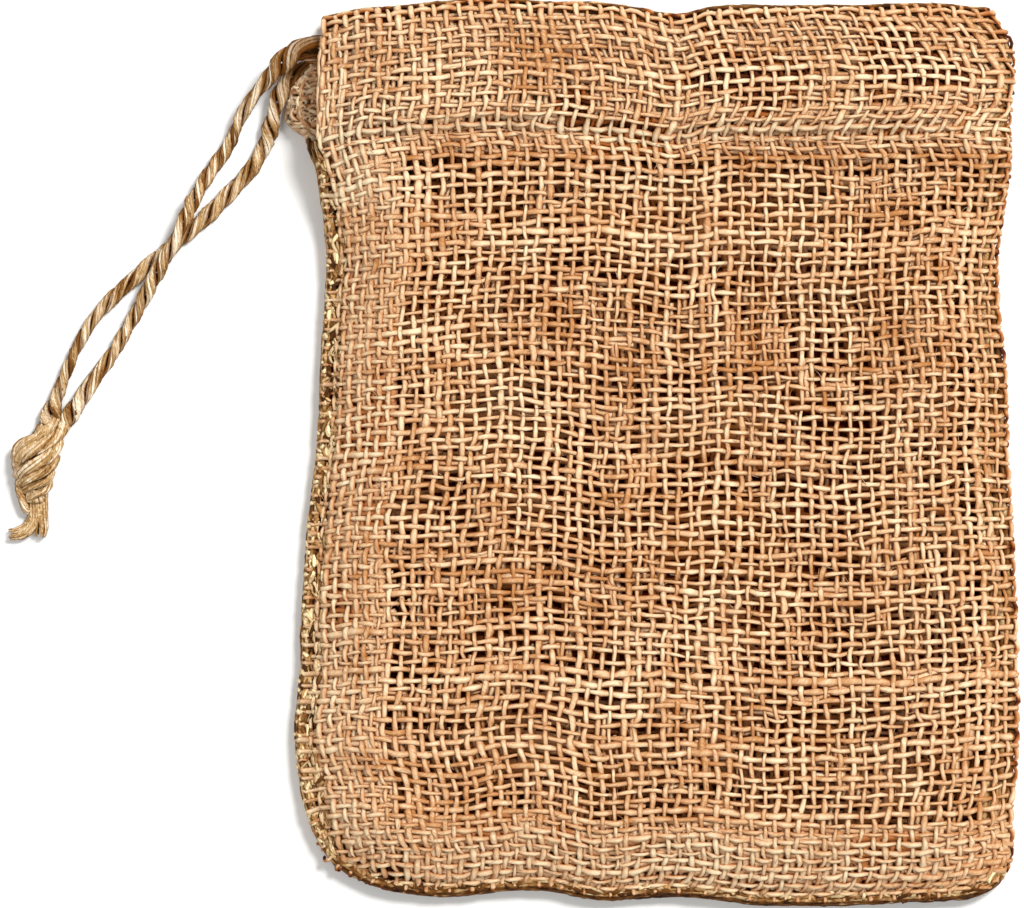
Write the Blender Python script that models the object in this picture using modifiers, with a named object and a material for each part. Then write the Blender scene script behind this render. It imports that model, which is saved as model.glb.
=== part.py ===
"""Small burlap drawstring sack, empty, lying on its back with its mouth to +Y.

One piece of jute burlap is folded at the right side and sewn along the left side and the bottom,
then turned the right way out. Its top is turned in as a deep hem, the casing, which holds one
jute twine. Both ends of the twine leave the casing at the left and are tied in one knot.

Frame: +X to the right, +Y to the mouth, +Z up. The origin is under the middle of the cloth, on the
surface that it lies on. Tables and sizes are in millimetres, and MM turns them into metres.
"""

import math

import bmesh
import bpy
import numpy as np
from mathutils import Vector

MM = 0.001
RIGHTWARD = Vector((1.0, 0.0, 0.0))

# Cloth
WALL = 1.0  # burlap sheet
CLEARANCE = 0.3  # between pieces that touch
TWINE = 2.2  # drawstring diameter
TUNNEL = TWINE + 0.8  # height inside the casing
MOUTH_GAP = 4.6  # between the two hems

# Body and casing, from the bottom seam up
BOTTOM_Y = -80.0  # rows start here, before the bottom edge's own waves
SIDES_OPEN_Y = 40.0  # from here up the sides widen towards the casing
CASING_FOOT_Y = 46.0  # the front starts to rise to the casing
SEAM_TOP_Y = 53.5  # the left seam ends, and the casing's left end is open above
STITCH_Y = 57.0  # line of stitches under the casing
FULL_CASING_Y = 61.5  # the casing reaches its full height here
TOP_Y = 79.2  # the hem starts to turn in here
BODY_RISE = 9.6  # front sheet over back sheet, middle to middle
STITCH_RISE = 10.9
SHOULDER = 15.0  # width over which the front rises from its edges
SPAN_X = 131.0  # nominal width, for the spacing of columns
LEFT_X, RIGHT_X = -64.0, 65.0  # nominal sides, for the top and bottom tables

# The rolled rim that joins front and back
SEAM_ROLL = 1.3  # how far the sewn left and bottom edges bulge out
FOLD_ROLL = 1.5  # the folded right side of the body
CASING_ROLL = WALL + TUNNEL + 0.9  # the folded right side of the casing
RIM_STEPS = 6
GROOVE_DEPTH = 0.7  # where the sewing pulls the front down beside the seam
GROOVE_AT = 1.3
GROOVE_WIDTH = 1.0

# Corner radii at the bottom
LEFT_CORNER = 22.0
RIGHT_CORNER = 10.0
CORNER_SOFTNESS = 0.9

# Spacing of the cloth's columns and rows
EDGE_STEPS = (0.0, 1.1, 2.4, 4.2, 7.0, 11.0, 16.0)
CELL = 5.2
UPPER_ROWS = (50.0, SEAM_TOP_Y, 56.5, 59.0, 61.5, 65.0, 69.0, 73.0, 76.5)
HEM_END_Y = STITCH_Y + 0.6  # raw edge of the hem, inside
TURN_STEPS = 4

# Outer edge of the left side: y, x
LEFT_EDGE = (
    (-80.0, -64.0),
    (-59.0, -64.1),
    (-52.0, -64.9),
    (-41.0, -64.0),
    (-26.0, -63.5),
    (-12.0, -62.5),
    (2.5, -60.9),
    (17.0, -60.2),
    (27.5, -59.6),
    (36.5, -59.1),
    (45.5, -59.8),
    (53.0, -60.8),
    (62.0, -60.4),
    (81.0, -60.0),
)

# Outer edge of the right side: y, x
RIGHT_EDGE = (
    (-80.0, 65.0),
    (-66.0, 65.3),
    (-55.0, 66.0),
    (-41.0, 66.3),
    (-26.0, 65.8),
    (-12.0, 65.1),
    (-1.0, 64.4),
    (13.0, 64.3),
    (24.0, 63.1),
    (35.0, 62.4),
    (45.5, 63.6),
    (53.0, 64.8),
    (60.0, 64.6),
    (71.0, 65.3),
    (76.0, 64.8),
    (81.0, 62.4),
)

# Outer edge of the bottom: x, y
BOTTOM_EDGE = (
    (-64.0, -80.4),
    (-45.0, -79.9),
    (-38.0, -80.2),
    (-28.0, -79.3),
    (-20.0, -79.1),
    (-9.5, -80.6),
    (1.5, -79.8),
    (8.5, -79.9),
    (19.5, -81.3),
    (30.0, -81.5),
    (44.5, -81.1),
    (55.5, -80.4),
    (65.0, -79.5),
)

# Outer edge of the top: x, y
TOP_EDGE = (
    (-64.0, 79.2),
    (-56.0, 79.8),
    (-49.0, 80.3),
    (-38.0, 81.3),
    (-29.0, 81.7),
    (-20.0, 81.1),
    (-9.5, 80.9),
    (-2.5, 80.0),
    (5.0, 78.9),
    (12.0, 80.1),
    (26.5, 80.4),
    (37.5, 80.4),
    (50.0, 81.0),
    (58.0, 80.5),
    (65.0, 78.4),
)

# Front sheet over back sheet along the sides: y, left, right
SIDE_RISE = (
    (-81.0, 2.8, 3.0),
    (10.0, 2.8, 3.2),
    (34.0, 3.2, 3.8),
    (46.0, 4.4, 5.4),
    (53.0, 6.8, 7.8),
    (59.0, 9.0, 9.4),
    (62.0, 9.5, 9.6),
    (81.0, 9.5, 9.6),
)

# The back sheet's end reaches past the front at the casing's left end: y, how far
BACK_TAB = (
    (50.0, 0.0),
    (54.5, 1.0),
    (57.5, 3.3),
    (60.0, 5.0),
    (66.5, 5.15),
    (69.0, 3.0),
    (73.5, 0.6),
    (78.0, 0.0),
)
TAB_FADE = 7

# Soft ridges (+) and troughs (-) of the front: x, y of each end, half width, height
FOLDS = (
    (11.0, 42.0, 30.5, 32.5, 4.5, 0.9),
    (42.0, 28.0, 58.0, 23.0, 5.0, 0.7),
    (-35.5, 10.5, -29.5, -8.5, 5.5, 0.7),
    (-17.5, 5.0, -2.0, 0.0, 4.5, -0.9),
    (-2.0, 0.0, 17.5, -7.0, 4.5, -0.9),
    (22.0, -12.5, 29.0, -25.0, 4.5, -0.7),
    (47.0, -11.0, 56.0, -23.0, 5.0, -0.7),
    (-62.0, -57.0, -38.0, -62.5, 4.0, -1.3),
    (14.0, 50.0, 58.0, 52.0, 4.5, -0.8),
    (-58.0, 56.0, -46.0, 45.0, 3.5, 0.8),
    (-60.0, 47.0, -50.0, 38.0, 3.5, 0.6),
    (-34.0, 52.0, -22.0, 50.0, 5.0, -0.5),
    (-20.0, -45.0, 4.0, -50.0, 9.0, 0.5),
    (-38.0, -50.0, -28.0, -56.0, 7.0, -0.5),
    (46.0, 4.0, 54.0, -6.0, 7.0, -0.6),
    (50.0, 60.0, 58.0, 76.0, 5.0, -0.4),
    (-2.0, 66.0, 8.0, 79.0, 4.5, -0.35),
    (-52.0, 64.0, -40.0, 72.0, 5.0, 0.4),
    (14.0, 68.0, 34.0, 74.0, 5.0, 0.3),
)

# Upper strand, from inside the front casing to the knot: x, y, z of its middle
UPPER_STRAND = (
    (-58.6, 72.2, 8.6),
    (-60.8, 72.2, 8.0),
    (-63.4, 71.8, 7.4),
    (-66.4, 70.2, 6.6),
    (-69.3, 67.4, 5.4),
    (-71.9, 64.3, 4.1),
    (-73.9, 61.2, 2.9),
    (-75.2, 58.4, 2.1),
    (-76.4, 55.8, 1.4),
    (-78.4, 52.8, 1.2),
    (-80.8, 49.3, 2.0),
    (-82.7, 45.7, 3.1),
    (-84.4, 42.1, 3.8),
    (-86.0, 38.5, 3.9),
    (-88.0, 35.0, 3.8),
    (-90.0, 31.3, 3.0),
    (-91.9, 27.7, 1.9),
    (-94.0, 24.1, 1.2),
    (-96.0, 20.4, 1.2),
    (-98.3, 16.9, 1.2),
    (-100.9, 13.2, 1.2),
    (-103.4, 9.6, 1.2),
    (-105.9, 5.6, 1.3),
)

# Lower strand, from inside the back casing to the knot: x, y, z of its middle
LOWER_STRAND = (
    (-58.6, 69.6, 2.5),
    (-60.6, 69.6, 2.55),
    (-63.4, 68.9, 2.6),
    (-65.6, 67.3, 2.6),
    (-67.0, 65.2, 2.6),
    (-67.9, 62.6, 2.5),
    (-68.6, 59.8, 2.1),
    (-69.3, 57.2, 1.5),
    (-70.4, 54.6, 1.2),
    (-72.2, 51.7, 1.2),
    (-74.8, 48.7, 1.2),
    (-77.9, 45.4, 1.2),
    (-81.0, 42.4, 1.2),
    (-83.8, 39.9, 1.2),
    (-86.8, 37.3, 1.2),
    (-90.5, 34.3, 1.2),
    (-94.2, 31.1, 1.2),
    (-98.0, 27.6, 1.2),
    (-101.1, 24.0, 1.2),
    (-103.2, 20.4, 1.2),
    (-104.9, 16.8, 1.2),
    (-106.4, 13.2, 1.2),
    (-107.7, 9.6, 1.2),
    (-109.1, 5.3, 1.3),
)

# The two cut ends below the knot: x, y, z of their middle
TOE_TAIL = (
    (-112.5, -9.45, 1.3),
    (-112.5, -11.4, 1.2),
    (-113.0, -12.9, 1.2),
    (-114.2, -14.1, 1.2),
    (-116.2, -14.8, 1.2),
)
HEEL_TAIL = (
    (-109.9, -9.45, 1.3),
    (-109.9, -11.6, 1.2),
    (-109.9, -13.4, 1.2),
    (-110.1, -15.0, 1.2),
)

# The knot's sections along the cord: x, y of the middle, half width, half height
KNOT_SECTIONS = (
    (-107.8, 4.6, 2.7, 1.3),
    (-109.6, 3.2, 3.5, 2.3),
    (-111.1, 1.3, 4.2, 3.0),
    (-111.3, -1.2, 4.0, 3.1),
    (-111.3, -3.7, 3.6, 2.8),
    (-111.3, -6.2, 3.0, 2.3),
    (-111.3, -8.0, 2.6, 1.7),
    (-111.3, -9.1, 2.4, 1.3),
)
KNOT_SIDES = 24
KNOT_WRAPS = 3  # ridges of twine around the knot
KNOT_RIDGE = 0.09  # of the radius
CORD_STEP = 2.9 * TWINE  # between points of a straight run
CASING_CORD_Y = 70.5
CORD_MARGIN = 2.5  # the held length starts this far in from the casing's left end

# Colours (linear) of the cloth and the twine
BURLAP_COLOUR = (0.58, 0.34, 0.14, 1.0)
TWINE_COLOUR = (0.48, 0.31, 0.14, 1.0)
JUTE_ROUGHNESS = 0.9


def smooth(rows, at, column=1):
    """Value at a position on the smooth curve through a table's rows, whose column 0 is the position."""
    table = np.array(rows, float)
    places = table[:, 0]
    values = table[:, column]
    slopes = np.gradient(values, places)
    spot = np.clip(np.asarray(at, float), places[0], places[-1])
    low = np.clip(np.searchsorted(places, spot, side="right") - 1, 0, len(places) - 2)
    width = places[low + 1] - places[low]
    t = (spot - places[low]) / width
    start = (1 + 2 * t) * (1 - t) ** 2 * values[low] + t * (1 - t) ** 2 * width * slopes[low]
    end = t**2 * (3 - 2 * t) * values[low + 1] - t**2 * (1 - t) * width * slopes[low + 1]
    return start + end


def step(value, low, high):
    """0 up to low, 1 from high, and a soft S between."""
    t = np.clip((value - low) / (high - low), 0.0, 1.0)
    return t * t * (3 - 2 * t)


def casing_share(y):
    """0 at the stitches under the casing, 1 where the casing has its full height."""
    return step(y, STITCH_Y, FULL_CASING_Y)


def hem_depth(y):
    """Distance from the middle of the outer sheet to the middle of the hem inside it."""
    shut = WALL + CLEARANCE
    return shut + (TUNNEL + WALL - shut) * casing_share(y)


def shoulder(distance):
    """How the front rises from an edge: 0 on it, 1 from SHOULDER inwards."""
    t = np.clip(distance / SHOULDER, 0.0, 1.0)
    return 0.5 * t * t * (3 - 2 * t) + 0.5 * t * (2 - t)


def fold_height(x, y):
    """Sum of the soft ridges and troughs of the front at a point."""
    total = 0.0
    for x0, y0, x1, y1, half_width, height in FOLDS:
        run = np.array((x1 - x0, y1 - y0))
        along = np.clip(((x - x0) * run[0] + (y - y0) * run[1]) / run.dot(run), 0.0, 1.0)
        away = np.hypot(x - x0 - along * run[0], y - y0 - along * run[1])
        total = total + height * np.exp(-((away / half_width) ** 2))
    return total


def round_corner(across, up, radius):
    """Pull a point near a square corner, given by its distances from both edges, onto a round one."""
    if across >= radius or up >= radius:
        return across, up
    dx = 1 - across / radius
    dy = 1 - up / radius
    round_dx = dx * math.sqrt(1 - CORNER_SOFTNESS * dy * dy / 2)
    round_dy = dy * math.sqrt(1 - CORNER_SOFTNESS * dx * dx / 2)
    return radius * (1 - round_dx), radius * (1 - round_dy)


def roll_of(u, y):
    """How far the rim bulges out past the end of the sheets at this side and height."""
    if u < 0.5:
        return SEAM_ROLL
    return FOLD_ROLL + (CASING_ROLL - FOLD_ROLL) * float(step(y, SIDES_OPEN_Y, FULL_CASING_Y))


def plan_point(u, y):
    """Plan position of a sheet's point, from its share of the width and its nominal row."""
    across = u * SPAN_X
    up = y - BOTTOM_Y
    if u < 0.5:
        across, up = round_corner(across, up, LEFT_CORNER)
    else:
        back_across, up = round_corner(SPAN_X - across, up, RIGHT_CORNER)
        across = SPAN_X - back_across
    u = across / SPAN_X
    y = BOTTOM_Y + up
    left = smooth(LEFT_EDGE, y) + (SEAM_ROLL + WALL / 2) * (1 - step(y, SEAM_TOP_Y, STITCH_Y + 2.0))
    right = smooth(RIGHT_EDGE, y) - roll_of(1.0, y) - WALL / 2
    x_row = LEFT_X + u * (RIGHT_X - LEFT_X)
    low = smooth(BOTTOM_EDGE, x_row) + SEAM_ROLL + WALL / 2
    turn = (WALL + TUNNEL) / 2 + WALL / 2
    high = smooth(TOP_EDGE, x_row) - turn
    v = (y - BOTTOM_Y) / (TOP_Y - BOTTOM_Y)
    return left + u * (right - left), low + v * (high - low)


def groove_shape(distance):
    """Share of the groove's depth at a distance from a sewn edge."""
    return math.exp(-(((distance - GROOVE_AT) / GROOVE_WIDTH) ** 2))


def rise(u, y):
    """Height of the front sheet over the back sheet, middle to middle."""
    x, real_y = plan_point(u, y)
    side = smooth(SIDE_RISE, y, 1) * (1 - u) + smooth(SIDE_RISE, y, 2) * u
    body = BODY_RISE + (STITCH_RISE - BODY_RISE) * step(y, CASING_FOOT_Y, STITCH_Y)
    casing = 2 * (TUNNEL + WALL) + MOUTH_GAP + WALL
    middle = body + (casing - STITCH_RISE) * casing_share(y)
    from_left = u * SPAN_X
    from_bottom = y - BOTTOM_Y
    lift = shoulder(from_left) * shoulder(SPAN_X - from_left) * shoulder(from_bottom)
    beside_left = groove_shape(from_left) * (1 - step(y, SIDES_OPEN_Y, SEAM_TOP_Y))
    groove = GROOVE_DEPTH * max(beside_left, groove_shape(from_bottom))
    return float(side + (middle - side) * lift - groove + fold_height(x, real_y) * lift)


def front_point(u, y):
    x, real_y = plan_point(u, y)
    return Vector((x, real_y, WALL / 2 + rise(u, y)))


def back_point(u, y, tab=True):
    x, real_y = plan_point(u, y)
    if tab:
        x -= smooth(BACK_TAB, real_y) * (1 - u) ** TAB_FADE
    return Vector((x, real_y, WALL / 2))


def rim_arc(front, back, outward, roll):
    """Points of the half ellipse that joins the front sheet's edge to the back sheet's."""
    middle = (front + back) / 2
    half = (front - back) / 2
    arc = []
    for count in range(1, RIM_STEPS):
        angle = math.pi * count / RIM_STEPS
        arc.append(middle + half * math.cos(angle) + outward * (roll * math.sin(angle)))
    return arc


def columns():
    """Shares of the width at which the cloth has a column of points."""
    inner = SPAN_X - 2 * EDGE_STEPS[-1]
    cells = round(inner / CELL)
    left = [distance / SPAN_X for distance in EDGE_STEPS]
    middle = [(EDGE_STEPS[-1] + inner * k / cells) / SPAN_X for k in range(1, cells)]
    right = [1 - share for share in reversed(left)]
    return left + middle + right


def rows():
    """Nominal heights at which the cloth has a row of points, from the bottom to the turn at the top."""
    low = [BOTTOM_Y + distance for distance in EDGE_STEPS]
    cells = round((UPPER_ROWS[0] - low[-1]) / CELL)
    gap = (UPPER_ROWS[0] - low[-1]) / cells
    middle = [low[-1] + gap * k for k in range(1, cells)]
    return low + middle + list(UPPER_ROWS) + [TOP_Y]


def outline_normals(points):
    """Outward direction in plan at each point of the rim, which runs down the left, along and up the right."""
    normals = []
    for index, point in enumerate(points):
        before = points[max(index - 1, 0)]
        after = points[min(index + 1, len(points) - 1)]
        along = (after - before).normalized()
        in_casing = point.x > 0 and point.y > CASING_FOOT_Y
        normals.append(RIGHTWARD if in_casing else Vector((along.y, -along.x, 0.0)))
    return normals


def build_sheet(mesh):
    """Fill the bmesh with the middle surface of the cloth: front, back, rim, top turn and hem."""
    shares = columns()
    heights = rows()
    last_u = len(shares) - 1
    last_y = len(heights) - 1
    seam_top = heights.index(SEAM_TOP_Y)
    front = [[mesh.verts.new(front_point(u, y)) for u in shares] for y in heights]
    back = [[mesh.verts.new(back_point(u, y)) for u in shares] for y in heights]

    # The rim runs down the left from the top of the side seam, along the bottom and up the right.
    rim = [(0, row) for row in range(seam_top, 0, -1)]
    rim += [(column, 0) for column in range(last_u + 1)]
    rim += [(last_u, row) for row in range(1, last_y + 1)]
    outward = outline_normals([back[row][column].co for column, row in rim])
    arcs = {}
    for (column, row), direction in zip(rim, outward):
        top = front[row][column]
        bottom = back[row][column]
        roll = roll_of(shares[column], heights[row])
        inner = [mesh.verts.new(p) for p in rim_arc(top.co, bottom.co, direction, roll)]
        arcs[column, row] = [top] + inner + [bottom]

    for row in range(last_y):
        for column in range(last_u):
            mesh.faces.new((front[row][column], front[row][column + 1],
                            front[row + 1][column + 1], front[row + 1][column]))
            mesh.faces.new((back[row][column], back[row + 1][column],
                            back[row + 1][column + 1], back[row][column + 1]))
    for first, second in zip(rim, rim[1:]):
        for k in range(RIM_STEPS):
            mesh.faces.new((arcs[first][k], arcs[first][k + 1], arcs[second][k + 1], arcs[second][k]))

    # The casing's section runs over the front, round the fold and back along the back.
    top_ring = front[last_y][:-1] + arcs[last_u, last_y] + back[last_y][-2::-1]
    previous = top_ring
    for ring in turned_rings(shares, heights):
        current = [mesh.verts.new(point) for point in ring]
        for k in range(len(current) - 1):
            mesh.faces.new((previous[k], previous[k + 1], current[k + 1], current[k]))
        previous = current


def casing_section(shares, y, depth):
    """One ring of the casing, this far inside the outer sheet, from the front's left end to the back's."""
    front = [front_point(u, y) - Vector((0.0, 0.0, depth)) for u in shares]
    back = [back_point(u, y, tab=False) + Vector((0.0, 0.0, depth)) for u in shares]
    fold = rim_arc(front[-1], back[-1], RIGHTWARD, roll_of(1.0, y) - depth)
    return front + fold + back[::-1]


def turned_rings(shares, heights):
    """Rings of the hem: over the top turn, then down inside the casing to its raw edge."""
    depth = float(hem_depth(TOP_Y))
    rings = []
    for count in range(1, TURN_STEPS):
        angle = math.pi * count / TURN_STEPS
        ring = casing_section(shares, TOP_Y, depth * (1 - math.cos(angle)) / 2)
        lift = Vector((0.0, math.sin(angle) * depth / 2, 0.0))
        rings.append([point + lift for point in ring])
    inner = [y for y in reversed(heights) if y > HEM_END_Y] + [HEM_END_Y]
    for y in inner:
        rings.append(casing_section(shares, y, float(hem_depth(y))))
    return rings


def even_points(route, spacing):
    """Points at even spacing along the smooth curve through a route's own points."""
    knots = [Vector(point) for point in route]
    fine = []
    for index in range(len(knots) - 1):
        p0 = knots[max(index - 1, 0)]
        p1 = knots[index]
        p2 = knots[index + 1]
        p3 = knots[min(index + 2, len(knots) - 1)]
        for part in range(12):
            t = part / 12
            fine.append(0.5 * (2 * p1 + (p2 - p0) * t + (2 * p0 - 5 * p1 + 4 * p2 - p3) * t**2
                               + (3 * p1 - p0 - 3 * p2 + p3) * t**3))
    fine.append(knots[-1])
    travelled = [0.0]
    for a, b in zip(fine, fine[1:]):
        travelled.append(travelled[-1] + (b - a).length)
    count = max(2, round(travelled[-1] / spacing))
    marks = np.linspace(0.0, travelled[-1], count + 1)
    axes = [np.interp(marks, travelled, [point[axis] for point in fine]) for axis in range(3)]
    return [Vector(point) for point in zip(*axes)]


def held_route():
    """Route of the twine inside the casing: along the front, round the fold and back along the back."""
    y = CASING_CORD_Y
    half_depth = float(hem_depth(y)) / 2
    start = CORD_MARGIN / SPAN_X
    count = round(SPAN_X / CORD_STEP)
    shares = [start + (1 - start) * k / count for k in range(count + 1)]
    return casing_section(shares, y, half_depth)


def make_material(name, colour):
    material = bpy.data.materials.new(name)
    material.use_nodes = True
    shader = material.node_tree.nodes["Principled BSDF"]
    shader.inputs["Base Color"].default_value = colour
    shader.inputs["Roughness"].default_value = JUTE_ROUGHNESS
    shader.inputs["Metallic"].default_value = 0.0
    return material


def add_object(name, data, collection, material):
    obj = bpy.data.objects.new(name, data)
    collection.objects.link(obj)
    data.materials.append(material)
    return obj


def add_mesh(name, fill, collection, material):
    """Object whose mesh is filled in millimetres by a function and then scaled to metres."""
    shape = bmesh.new()
    fill(shape)
    bmesh.ops.scale(shape, vec=(MM, MM, MM), verts=shape.verts)
    bmesh.ops.recalc_face_normals(shape, faces=shape.faces)
    mesh = bpy.data.meshes.new(name)
    shape.to_mesh(mesh)
    shape.free()
    mesh.shade_smooth()
    return add_object(name, mesh, collection, material)


def add_cord(name, points, collection, material):
    """Round cord along points, as a bevelled poly curve with closed ends."""
    curve = bpy.data.curves.new(name, "CURVE")
    curve.dimensions = "3D"
    curve.bevel_depth = TWINE / 2 * MM
    curve.bevel_resolution = 2
    curve.use_fill_caps = True
    spline = curve.splines.new("POLY")
    spline.points.add(len(points) - 1)
    for spot, point in zip(spline.points, points):
        spot.co = (*(point * MM), 1.0)
    return add_object(name, curve, collection, material)


def add_sack(collection, material):
    sack = add_mesh("sack_cloth", build_sheet, collection, material)
    solid = sack.modifiers.new("Cloth thickness", "SOLIDIFY")
    solid.thickness = WALL * MM
    solid.offset = 0.0
    solid.use_even_offset = True
    solid.use_quality_normals = True
    return sack


def build_knot(mesh):
    """Fill the bmesh with the knot: sections with ridges that wind around it, and flat ends."""
    loops = []
    for index, (x, y, half_width, half_height) in enumerate(KNOT_SECTIONS):
        share = index / (len(KNOT_SECTIONS) - 1)
        ridge = KNOT_RIDGE * math.sin(math.pi * share)
        loop = []
        for k in range(KNOT_SIDES):
            angle = 2 * math.pi * k / KNOT_SIDES
            size = 1 + ridge * math.cos(KNOT_WRAPS * angle + 2 * math.pi * share)
            side = half_width * size * math.cos(angle)
            lift = half_height * (1 + size * math.sin(angle))
            loop.append(mesh.verts.new((x + side, y, max(lift, 0.0) + CLEARANCE)))
        loops.append(loop)
    for lower, upper in zip(loops, loops[1:]):
        for k in range(KNOT_SIDES):
            after = (k + 1) % KNOT_SIDES
            mesh.faces.new((lower[k], lower[after], upper[after], upper[k]))
    mesh.faces.new(loops[0])
    mesh.faces.new(loops[-1])


def clear_scene():
    for obj in list(bpy.data.objects):
        bpy.data.objects.remove(obj, do_unlink=True)


def main():
    clear_scene()
    collection = bpy.data.collections.new("Burlap sack")
    bpy.context.scene.collection.children.link(collection)
    burlap = make_material("Burlap", BURLAP_COLOUR)
    twine = make_material("Jute twine", TWINE_COLOUR)
    add_sack(collection, burlap)
    add_cord("drawstring_held", held_route(), collection, twine)
    add_cord("drawstring_upper", even_points(UPPER_STRAND, CORD_STEP), collection, twine)
    add_cord("drawstring_lower", even_points(LOWER_STRAND, CORD_STEP), collection, twine)
    add_mesh("drawstring_knot", build_knot, collection, twine)
    add_cord("tail_toe", even_points(TOE_TAIL, TWINE), collection, twine)
    add_cord("tail_heel", even_points(HEEL_TAIL, TWINE), collection, twine)


main()
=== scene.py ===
"""Looks of a small burlap drawstring sack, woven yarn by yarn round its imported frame.

The cloth is one table of its middle surface: across from the left seam over the front, round the
right fold and back to the left seam, and up from the bottom seam over the top turn and down the
hem inside. Warp and weft yarns cross on that table. The twine is laid from its two plies along
routes of its own, close to the frame's. Tables and sizes are in millimetres, and MM turns them
into metres.
"""

import logging
import math
from dataclasses import dataclass, field
from enum import Enum

import bmesh
import bpy
import numpy as np
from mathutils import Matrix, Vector


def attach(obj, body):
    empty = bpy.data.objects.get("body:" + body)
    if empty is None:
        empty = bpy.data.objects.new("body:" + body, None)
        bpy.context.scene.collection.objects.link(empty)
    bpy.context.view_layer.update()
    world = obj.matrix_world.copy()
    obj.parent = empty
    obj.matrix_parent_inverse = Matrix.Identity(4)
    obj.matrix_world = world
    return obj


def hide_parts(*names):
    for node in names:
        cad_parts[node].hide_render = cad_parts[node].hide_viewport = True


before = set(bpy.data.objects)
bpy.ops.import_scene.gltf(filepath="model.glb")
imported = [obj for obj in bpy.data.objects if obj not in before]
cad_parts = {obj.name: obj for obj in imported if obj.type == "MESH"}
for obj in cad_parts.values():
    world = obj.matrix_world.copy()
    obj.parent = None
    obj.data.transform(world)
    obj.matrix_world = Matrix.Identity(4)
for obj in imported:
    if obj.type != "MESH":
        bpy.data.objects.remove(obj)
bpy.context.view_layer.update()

Array = np.ndarray
Random = np.random.Generator
Material, Mesh, Object = bpy.types.Material, bpy.types.Mesh, bpy.types.Object

log = logging.getLogger("sack")
MM = 0.001

# Sizes of the cloth, as in the part's source apart from the right corner
WALL = 1.0
TWINE = 2.2
TUNNEL = TWINE + 0.8
MOUTH_GAP = 4.6
BOTTOM_Y = -80.0
SIDES_OPEN_Y = 40.0
CASING_FOOT_Y = 46.0
SEAM_TOP_Y = 53.5
STITCH_Y = 57.0
FULL_CASING_Y = 61.5
TOP_Y = 79.2
BODY_RISE = 9.6
STITCH_RISE = 10.9
SHOULDER = 15.0
SPAN_X = 131.0
LEFT_X, RIGHT_X = -64.0, 65.0
SEAM_ROLL = 1.3
FOLD_ROLL = 1.5
CASING_ROLL = WALL + TUNNEL + 0.9
GROOVE_DEPTH = 0.7
GROOVE_AT = 1.3
GROOVE_WIDTH = 1.0
LEFT_CORNER = 22.0
RIGHT_CORNER = 7.0
CORNER_SOFTNESS = 0.9
CORNER_Y = 71.0  # the mouth's right corner rounds off from here
HEM_END_Y = STITCH_Y + 0.6
CASING_CORD_Y = 70.5
CORD_MARGIN = 2.5
BACK_Z = 0.85  # middle of the back sheet's yarns, so that they lie on the floor

# How the cloth's table is cut
FRONT_POINTS = 240
BODY_FOLD = 6.5  # way round the fold beside the body
FOLD_GIVE = 0.65  # share of a longer fold's extra way that its yarns don't take up
TAB_FADE = 7
INSIDE, ACROSS, UP = 3, 4, 5  # the table's channels after x, y and z

# Yarns
TIP = 0.05  # how far a yarn's pointed end stands out, as a share of its last step
EDGE_GAP = 0.8  # between points of the sewn outline
BIT = np.array([0.7, 1.0, 1.1, 1.0, 0.7])  # thickness along a short stretch of yarn
BOW = np.array([0.0, 0.8, 1.0, 0.8, 0.0])  # how such a stretch bends
HALVES = np.linspace(-0.5, 0.5, 5)  # places along it
UPWARDS = np.array([0.0, 0.0, 1.0])
KNOT_MIDDLE_X = -110.9

# Outer edge of the left side: y, x
LEFT_EDGE = (
    (-80.0, -64.0), (-59.0, -64.1), (-52.0, -64.9), (-41.0, -64.0), (-26.0, -63.5),
    (-12.0, -62.5), (2.5, -60.9), (17.0, -60.2), (27.5, -59.6), (36.5, -59.1),
    (45.5, -59.8), (53.0, -60.8), (62.0, -60.4), (81.0, -60.0),
)
# Outer edge of the right side: y, x
RIGHT_EDGE = (
    (-80.0, 65.0), (-66.0, 65.3), (-55.0, 66.0), (-41.0, 66.3), (-26.0, 65.8), (-12.0, 65.1),
    (-1.0, 64.4), (13.0, 64.3), (24.0, 63.1), (35.0, 62.4), (45.5, 63.6), (53.0, 64.8),
    (60.0, 64.6), (71.0, 65.3), (76.0, 64.5), (81.0, 60.8),
)
# Outer edge of the bottom: x, y
BOTTOM_EDGE = (
    (-64.0, -80.4), (-45.0, -79.9), (-38.0, -80.2), (-28.0, -79.3), (-20.0, -79.1),
    (-9.5, -80.9), (1.5, -80.2), (8.5, -80.4), (19.5, -81.7), (30.0, -81.9), (44.5, -81.5),
    (55.5, -80.9), (65.0, -80.1),
)
# Outer edge of the top: x, y
TOP_EDGE = (
    (-64.0, 78.5), (-56.0, 79.8), (-49.0, 80.3), (-38.0, 81.3), (-29.0, 81.7), (-20.0, 81.1),
    (-9.5, 80.9), (-2.5, 80.0), (5.0, 78.9), (12.0, 80.1), (26.5, 80.4), (37.5, 80.4),
    (50.0, 80.7), (58.0, 80.8), (65.0, 80.4),
)
# Front sheet over back sheet along the sides: y, left, right
SIDE_RISE = (
    (-81.0, 2.8, 3.0), (10.0, 2.8, 3.2), (34.0, 3.2, 3.8), (46.0, 4.4, 5.4), (53.0, 6.8, 7.8),
    (59.0, 9.0, 9.4), (62.0, 9.5, 9.6), (81.0, 9.5, 9.6),
)
# The back sheet's end past the front at the casing's left end: y, how far
BACK_TAB = (
    (50.0, 0.0), (54.5, 0.5), (56.0, 1.3), (57.5, 2.5), (58.8, 4.3), (60.0, 5.7), (63.0, 5.8),
    (66.5, 5.6), (69.0, 3.3), (73.5, 0.6), (78.0, 0.0),
)
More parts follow.
